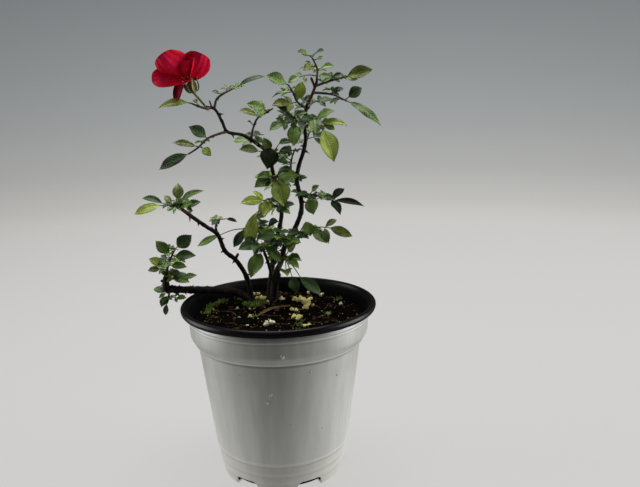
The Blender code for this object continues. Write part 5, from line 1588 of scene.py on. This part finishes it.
def build_pot():
    """Pale outer skin and black lining with its rolled brim."""
    bead = [(SKIRT_BEAD_RADIUS + out, BEAD_HEIGHT + up) for out, up in BEAD]
    outer = [(FOOT_RADIUS, 0.0), *FOOT_STEPS, WALL_BOTTOM, WALL_TOP, *LEDGE, *bead, SKIRT_TOP]
    outer.append((LIP_ROOT, LIP_UNDER))
    seam = [(radius - inset, height - drop) for (radius, height), inset, drop in SEAM]
    shell = Heap()
    shell.add(*ring_body(turned_rings([*outer, *seam], POT_SEGMENTS)))
    skin_piece = heap_piece("pot_skin", shell, pot_material(), ["pot"], 35.0)
    cut_drains(skin_piece)
    middle = (RIM_RADIUS - LIP_ROUND, POT_HEIGHT - LIP_ROUND)
    lip = []
    for degrees in LIP_ARC:
        turn = math.radians(degrees)
        tall = LIP_ROUND if degrees > 0 else LIP_DROP
        lip.append((middle[0] + LIP_ROUND * math.cos(turn), middle[1] + tall * math.sin(turn)))
    throat = [(RIM_RADIUS - inset, POT_HEIGHT - drop) for inset, drop in THROAT]
    lining = Heap()
    profile = [*reversed(seam), *lip, *throat, *inner_profile(0.0)]
    lining.add(*ring_body(turned_rings(profile, POT_SEGMENTS)))
    lining_piece = heap_piece("pot_lining", lining, lining_material(), ["pot"], 35.0)
    cut_drains(lining_piece)


def spatter(name, marks):
    """Flat drops dried on the pot's side."""
    rng = random.Random(name)
    heap = Heap()
    tree = node_tree("pot")
    for column, row, size in marks:
        spot, _, _, _ = tree.ray_cast(Vector(CAMERA_PLACE), line_of_sight(column, row))
        degrees = math.degrees(math.atan2(spot.y, spot.x))
        out = wall_radius(spot.z) if spot.z < LEDGE_HEIGHT else LEDGE[-1][0] + SPLASH_LIFT
        place = pointing(degrees, 0) * out + UP * spot.z
        for _ in range(3):
            shift = pointing(degrees + 90, 0) * rng.uniform(-0.5, 0.5) + UP * rng.uniform(-0.8, 0.8)
            lump(heap, place + shift * size, size * rng.uniform(0.5, 0.9), rng, 0.9, 0.5)
    ground_piece(name, heap, name)


def soil_surface(x, y):
    """The soil's height with clods and crumbs."""
    place = Vector((x * CLOD_PITCH, y * CLOD_PITCH, CLOD_LAYER))
    clods = sum(high * noise.noise(place * finer) for finer, high in CLODS)
    return soil_height(x, y) + clods - SOIL_SETTLE


def build_soil():
    """The filling: a crumbly surface over a plug that fills the pot."""
    edge = SOIL_RADIUS - SOIL_INSET
    circles = [(edge * i / SOIL_MESH_RINGS, 0.0) for i in range(SOIL_MESH_RINGS, 0, -1)]
    surface = turned_rings(circles, SOIL_MESH_SEGMENTS)
    for point in surface.reshape(-1, 3):
        point[2] = soil_surface(point[0], point[1])
    plug = [row for row in reversed(inner_profile(SOIL_INSET)) if row[1] < SOIL_LEVEL - PLUG_DROP]
    heap = Heap()
    heap.add(*ring_body([*turned_rings(plug, SOIL_MESH_SEGMENTS), *surface]))
    ground_piece("soil_top", heap, "soil", nodes=["soil"])


def lump(heap, place, size, rng, squash=0.75, roughness=0.35):
    """A rough rounded grain."""
    rings = []
    seed = rng.uniform(0, 50)
    turn = rng.uniform(0, math.tau)
    tilt = Matrix.Rotation(rng.uniform(-LUMP_TILT, LUMP_TILT), 3, "X") @ Matrix.Rotation(turn, 3, "Z")
    for i in range(1, LUMP_ROWS):
        low = math.pi * i / LUMP_ROWS
        ring = []
        for k in range(LUMP_SIDES):
            way = pointing(360.0 * k / LUMP_SIDES, 90 - math.degrees(low))
            out = 1 + roughness * noise.noise(way * LUMP_BUMPS + Vector((seed, 0, 0)))
            ring.append(place + tilt @ Vector((way.x, way.y * LUMP_WIDTH, way.z * squash)) * size * out)
        rings.append(ring)
    heap.add(*ring_body(rings))


def on_soil(x, y, lift=0.0):
    return Vector((x, y, soil_surface(x, y) + lift))


def soil_place(rng, reach=SOIL_REACH):
    """A random place on the soil, no farther out than the reach."""
    radius = math.sqrt(rng.uniform(0.0, 1.0)) * reach
    turn = rng.uniform(0, math.tau)
    return radius * math.cos(turn), radius * math.sin(turn)


def scatter_crumbs(rng):
    crumbs = Heap()
    for _ in range(CRUMB_COUNT):
        x, y = soil_place(rng, CRUMB_REACH)
        size = rng.uniform(*CRUMB_SIZE) * (BIG_CRUMB if rng.random() < BIG_SHARE else 1)
        lump(crumbs, on_soil(x, y, size * 0.2), size, rng, 0.7, 0.7)
    ground_piece("soil_crumbs", crumbs, "crumbs")


def scatter_chips(rng):
    bark = Heap()
    for _ in range(BARK_CHIPS):
        x, y = soil_place(rng)
        lump(bark, on_soil(x, y, 0.4), rng.uniform(*CHIP_SIZE), rng, 0.35, 0.8)
    for point in RED_BITS:
        lump(bark, on_soil(*seen_on_soil(*point), 0.6), rng.uniform(*RED_SIZE), rng, 0.6, 0.8)
    ground_piece("bark_chips", bark, "bark_chips")


def scatter_perlite(rng):
    white = Heap()
    yellow = Heap()
    for column, row, size, grains, kind in PERLITE:
        x, y = seen_on_soil(column, row)
        for _ in range(grains):
            apart = 1.15 * size if grains > 1 else 0.0
            spot = on_soil(x + rng.uniform(-apart, apart), y + rng.uniform(-apart, apart), size * 0.5)
            lump(yellow if kind else white, spot, size * rng.uniform(0.6, 1.05), rng, 0.85, 0.9)
    for _ in range(PERLITE_DUST):
        x, y = soil_place(rng)
        lump(white if rng.random() < 0.5 else yellow, on_soil(x, y, 0.1), rng.uniform(*DUST_SIZE), rng)
    ground_piece("perlite_white", white, "perlite_white")
    ground_piece("perlite_yellow", yellow, "perlite_yellow")


def dry_strip():
    """Rings of the dry strip of leaf that lies across the soil."""
    rows = zip(DRY_STRIP, STRIP_LIFTS)
    strip = smooth_route([on_soil(*seen_on_soil(*point), lift) for point, lift in rows], 1.0)
    rings = []
    for i, (centre, (_, _, across)) in enumerate(zip(strip, route_frames(strip, UP))):
        wide = STRIP_WIDTH * math.sin(math.pi * (0.08 + 0.84 * i / len(strip)))
        wide += 0.25 * noise.noise(centre)
        rings.append(oval_ring(centre, across, UP, wide, STRIP_THICKNESS / 2, 8))
    return rings


def scatter_fibres(rng):
    fibres = Heap()
    for _ in range(FIBRE_COUNT):
        x, y = soil_place(rng)
        turn = rng.uniform(0, 360)
        length = rng.uniform(*FIBRE_LENGTH)
        bend = rng.uniform(-FIBRE_BEND, FIBRE_BEND)
        route = [on_soil(x, y, FIBRE_LIFT)]
        for j in range(1, 6):
            step = pointing(turn + bend * j / 5, 0) * length / 5
            lift = FIBRE_LIFT + rng.uniform(0, 0.5)
            route.append(on_soil(route[-1].x + step.x, route[-1].y + step.y, lift))
        if max(math.hypot(p.x, p.y) for p in route) < FIBRE_REACH:
            thick = rng.uniform(*FIBRE_RADIUS)
            fibres.add(*ring_body(tube_rings(route, [thick] * 5 + [thick * 0.4], 5)))
    fibres.add(*ring_body(dry_strip()))
    ground_piece("fibres", fibres, "fibres", smooth_angle=60.0)


def scatter_moss(rng):
    moss = Heap()
    for column, row, spread, count in MOSS:
        x, y = seen_on_soil(column, row)
        for _ in range(count):
            spot = on_soil(x + rng.gauss(0, spread), y + rng.gauss(0, spread), 0.0)
            way = pointing(rng.uniform(0, 360), rng.uniform(*SHOOT_RISE))
            tall = rng.uniform(*SHOOT_HEIGHT)
            side = way.orthogonal().normalized()
            across = way.cross(side)
            rings = []
            for share, wide in SHOOT_SECTIONS:
                rings.append(oval_ring(spot + way * tall * share, side, across, wide, SHOOT_THICKNESS / 2, 4))
            moss.add(*ring_body(rings))
    ground_piece("moss", moss, "moss", smooth_angle=60.0)


def scatter_soil():
    """Crumbs, bark, perlite, fibres and moss on the soil, all dealt out by one generator in this order."""
    rng = random.Random(SEED)
    scatter_crumbs(rng)
    scatter_chips(rng)
    scatter_perlite(rng)
    scatter_fibres(rng)
    scatter_moss(rng)


# ---------------------------------------------------------------- bloom


def grow_petal(heap, petal, seat, axis, rng, grid):
    """A cupped petal on the rule of the solids, with a wavy rolled edge and fine ribs."""
    row_count, column_count = grid
    frame_turn = aligned(axis)
    side = frame_turn @ pointing(petal.heading + 90, 0)
    centre = seat
    steps = 0.0
    columns = np.linspace(-1, 1, column_count)
    upper = []
    lower = []
    phase = rng.uniform(0, math.tau)
    for i in range(row_count):
        row = i / (row_count - 1)
        opening = petal.opening + petal.bend * ((row + steps) / 2 - 0.5)
        out = frame_turn @ pointing(petal.heading, 90 - opening)
        centre = centre + out * petal.length * (row - steps)
        steps = row
        across = turned(side, out, petal.turn)
        normal = across.cross(out)
        swell = math.sin(math.pi * (PETAL_START + (PETAL_END - PETAL_START) * row))
        half = petal.width / 2 * (PETAL_CLAW + (1 - PETAL_CLAW) * swell)
        for column in columns:
            point = centre - out * PETAL_ROUNDING * petal.length * row * column * column
            point = point + across * half * column - normal * petal.cup * half * column * column
            rim = max(row**6, abs(column) ** 7 * min(1.0, row * 2))
            ripple = PETAL_RIPPLE * row * math.sin(5.5 * column + phase) * (0.3 + 0.7 * abs(column))
            ripple += 0.35 * row * noise.noise(Vector((column * 2.3 + phase, row * 3.0, 0.0)))
            point = point + normal * (ripple - PETAL_ROLL * rim)
            upper.append(point + normal * PETAL_SHEET / 2)
            lower.append(point - normal * PETAL_SHEET / 2)
    shape = (row_count, column_count, 3)
    points, quads = closed_sheet(np.array(upper).reshape(shape), np.array(lower).reshape(shape))
    rows = np.tile(np.repeat(np.linspace(0, 1, row_count), column_count), 2)
    heap.add(points, quads, row=rows, column=np.tile(columns, 2 * row_count), shaded=petal.shaded)


def build_bloom(seat, axis):
    """Petals, stamens and the small boss that carries them."""
    heap = Heap()
    rng = random.Random(SEED)
    start = seat + axis * (RECEPTACLE + GAP)
    for petal in PETALS:
        grow_petal(heap, petal, start, axis, rng, PETAL_GRID)
    for i in range(INNER_PETALS):
        length = 11 + 0.7 * i
        width = 10 + 0.6 * i
        turn = rng.uniform(-20, 20)
        small = Petal(GOLDEN_ANGLE * i, 24 + 4 * i, -30, length, width, 0.5, turn)
        grow_petal(heap, small, start, axis, rng, INNER_GRID)
    heap_piece("bloom_petals", heap, petal_material(), ["bloom"], 180.0)
    stamens = Heap()
    for i in range(STAMEN_COUNT):
        lean = STAMEN_SPREAD * math.sqrt((i + 0.5) / STAMEN_COUNT)
        way = aligned(axis) @ pointing(GOLDEN_ANGLE * i, 90 - lean)
        tall = rng.uniform(*STAMEN_HEIGHT)
        route = [start, start + way * tall * 0.5, start + way * tall]
        stamens.add(*ring_body(tube_rings(route, STAMEN_RADII, 5)))
        lump(stamens, start + way * (tall + 0.3), ANTHER_SIZE, rng, 0.7, 0.2)
    across = aligned(axis) @ Vector((1.0, 0.0, 0.0))
    beyond = aligned(axis) @ Vector((0.0, 1.0, 0.0))
    rings = [oval_ring(start + axis * h, across, beyond, r, r, 16) for h, r in RECEPTACLE_OUTLINE]
    boss = Heap()
    boss.add(*ring_body(rings))
    ground_piece("receptacle", boss, "receptacle", ["bloom"], 60.0)
    ground_piece("stamens", stamens, "stamens", ["bloom"], 60.0)


def build_calyx(trees):
    """The flower stalk, the hip and its five sepals. Returns the seat of the petals and the bloom's axis."""
    whole = smooth_route(FLOWER_STALK, FINE_STEP / 2)
    clear = start_clear(whole, FLOWER_STALK_RADIUS, trees["bloom_bough"])
    foot = thinned(clear, FLOWER_STALK_STEP)[-1]
    axis = Vector(BLOOM_AXIS).normalized()
    stalk = thinned(whole, 0.9)
    profile = smooth_route([(r, 0.0, h) for h, r in HIP], 0.5)
    route = stalk[:-1] + [foot + axis * p.z for p in profile]
    radii = [FLOWER_STALK_RADIUS] * (len(stalk) - 1) + [p.x for p in profile]
    heap = Heap()
    rings = tube_rings(route, radii, 20)
    heap.add(*ring_body(rings), margin=0.0)
    for i in range(SEPAL_COUNT):
        grow_sepal(heap, foot, axis, 360 // SEPAL_COUNT * i + SEPAL_FIRST)
    heap_piece("calyx", heap, sepal_material(), ["hip"], 60.0)
    return foot + axis * HIP[-1][0], axis


def grow_sepal(heap, foot, axis, heading):
    """One sepal: it hugs the hip from its foot up, and its tip turns out from the petals."""
    frame_turn = aligned(axis)
    columns = np.linspace(-1, 1, SEPAL_COLUMNS)
    side = frame_turn @ pointing(heading + 90, 0)
    out = frame_turn @ pointing(heading, 0)
    upper = []
    lower = []
    route = smooth_route([tuple(out * r + axis * h + foot) for r, h, _ in SEPAL], 0.5)
    widths = np.interp(np.linspace(0, 1, len(route)), np.linspace(0, 1, len(SEPAL)), [w for _, _, w in SEPAL])
    for i, (centre, half) in enumerate(zip(route, widths)):
        ahead = (route[min(i + 1, len(route) - 1)] - route[max(i - 1, 0)]).normalized()
        normal = ahead.cross(side).normalized()
        sway = side * SEPAL_SWAY * math.sin(heading + 0.3 * i) * i / len(route)
        for column in columns:
            point = centre + sway + side * half * column - normal * half * 0.3 * column * column
            upper.append(point + normal * SEPAL_SHEET / 2)
            lower.append(point - normal * SEPAL_SHEET / 2)
    shape = (len(route), SEPAL_COLUMNS, 3)
    points, quads = closed_sheet(np.array(upper).reshape(shape), np.array(lower).reshape(shape))
    heap.add(points, quads, margin=np.tile(np.abs(columns), 2 * len(route)))


# ---------------------------------------------------------------- stage, lamps and camera


def build_stage():
    """Round floor that sweeps up into a wall on every side. The wall neither shades the lamps nor lights."""
    profile = [(FLOOR_RADIUS * i / STAGE_STEPS, 0.0) for i in range(1, STAGE_STEPS + 1)]
    for i in range(1, STAGE_STEPS + 1):
        turn = math.radians(90 * i / STAGE_STEPS)
        profile.append((FLOOR_RADIUS + SWEEP_RADIUS * math.sin(turn), SWEEP_RADIUS * (1 - math.cos(turn))))
    profile.append((FLOOR_RADIUS + SWEEP_RADIUS, WALL_TOP_HEIGHT))
    rings = turned_rings(profile, STAGE_SEGMENTS)
    here = np.arange(STAGE_SEGMENTS)
    there = (here + 1) % STAGE_SEGMENTS
    fan = np.stack([here, there, np.full(STAGE_SEGMENTS, len(profile) * STAGE_SEGMENTS)], axis=-1)
    points = np.concatenate([rings.reshape(-1, 3), [(0.0, 0.0, 0.0)]])
    quads = grid_quads(len(profile), STAGE_SEGMENTS, True)
    mesh = bpy.data.meshes.new("stage")
    mesh.from_pydata((points * MM).tolist(), [], quads[:, ::-1].tolist() + fan.tolist())
    mesh.shade_smooth()
    obj = bpy.data.objects.new("stage", mesh)
    bpy.context.scene.collection.objects.link(obj)
    mesh.materials.append(stage_material())
    obj.visible_shadow = False
    obj.visible_diffuse = False
    obj.visible_glossy = False


def light_stage():
    """Soft boxes, and a dim world that is a little lighter from below."""
    for lamp in LAMPS:
        light = bpy.data.lights.new(lamp.name, "AREA")
        light.shape = "RECTANGLE"
        light.size = lamp.width * MM
        light.size_y = lamp.height * MM
        light.energy = lamp.power
        obj = bpy.data.objects.new(lamp.name, light)
        bpy.context.scene.collection.objects.link(obj)
        place = Vector(lamp.place)
        obj.location = place * MM
        obj.rotation_euler = (Vector(lamp.target) - place).to_track_quat("-Z", "Y").to_euler()
        obj.visible_camera = False
    world = bpy.data.worlds.new("studio")
    world.use_nodes = True
    tree = world.node_tree
    back = tree.nodes["Background"]
    back.inputs["Color"].default_value = (*WORLD_TONE, 1.0)
    split = tree.nodes.new("ShaderNodeSeparateXYZ")
    tree.links.new(tree.nodes.new("ShaderNodeTexCoord").outputs["Generated"], split.inputs["Vector"])
    fade = tree.nodes.new("ShaderNodeMapRange")
    tree.links.new(split.outputs["Z"], fade.inputs["Value"])
    for socket, number in zip(fade.inputs[1:5], (*WORLD_FADE, WORLD_LOW, WORLD_HIGH)):
        socket.default_value = number
    tree.links.new(fade.outputs["Result"], back.inputs["Strength"])
    bpy.context.scene.world = world


def place_camera():
    """The camera at the photograph's place and angle."""
    data = bpy.data.cameras.new("camera")
    data.lens = CAMERA_LENS
    data.sensor_width = SENSOR_WIDTH
    data.sensor_fit = "HORIZONTAL"
    camera = bpy.data.objects.new("camera", data)
    bpy.context.scene.collection.objects.link(camera)
    across, upright, ahead = camera_axes()
    axes = Matrix((across, upright, -ahead)).transposed().to_4x4()
    camera.matrix_world = Matrix.Translation(Vector(CAMERA_PLACE) * MM) @ axes
    bpy.context.scene.camera = camera


def main():
    bpy.context.scene.view_settings.view_transform = "Standard"
    build_pot()
    spatter("splashes", SPLASHES)
    spatter("scuffs", SCUFFS)
    build_soil()
    scatter_soil()
    routes, trees = grow_canes()
    grow_foliage(routes, trees)
    seat, axis = build_calyx(trees)
    build_bloom(seat, axis)
    build_stage()
    light_stage()
    place_camera()


main()
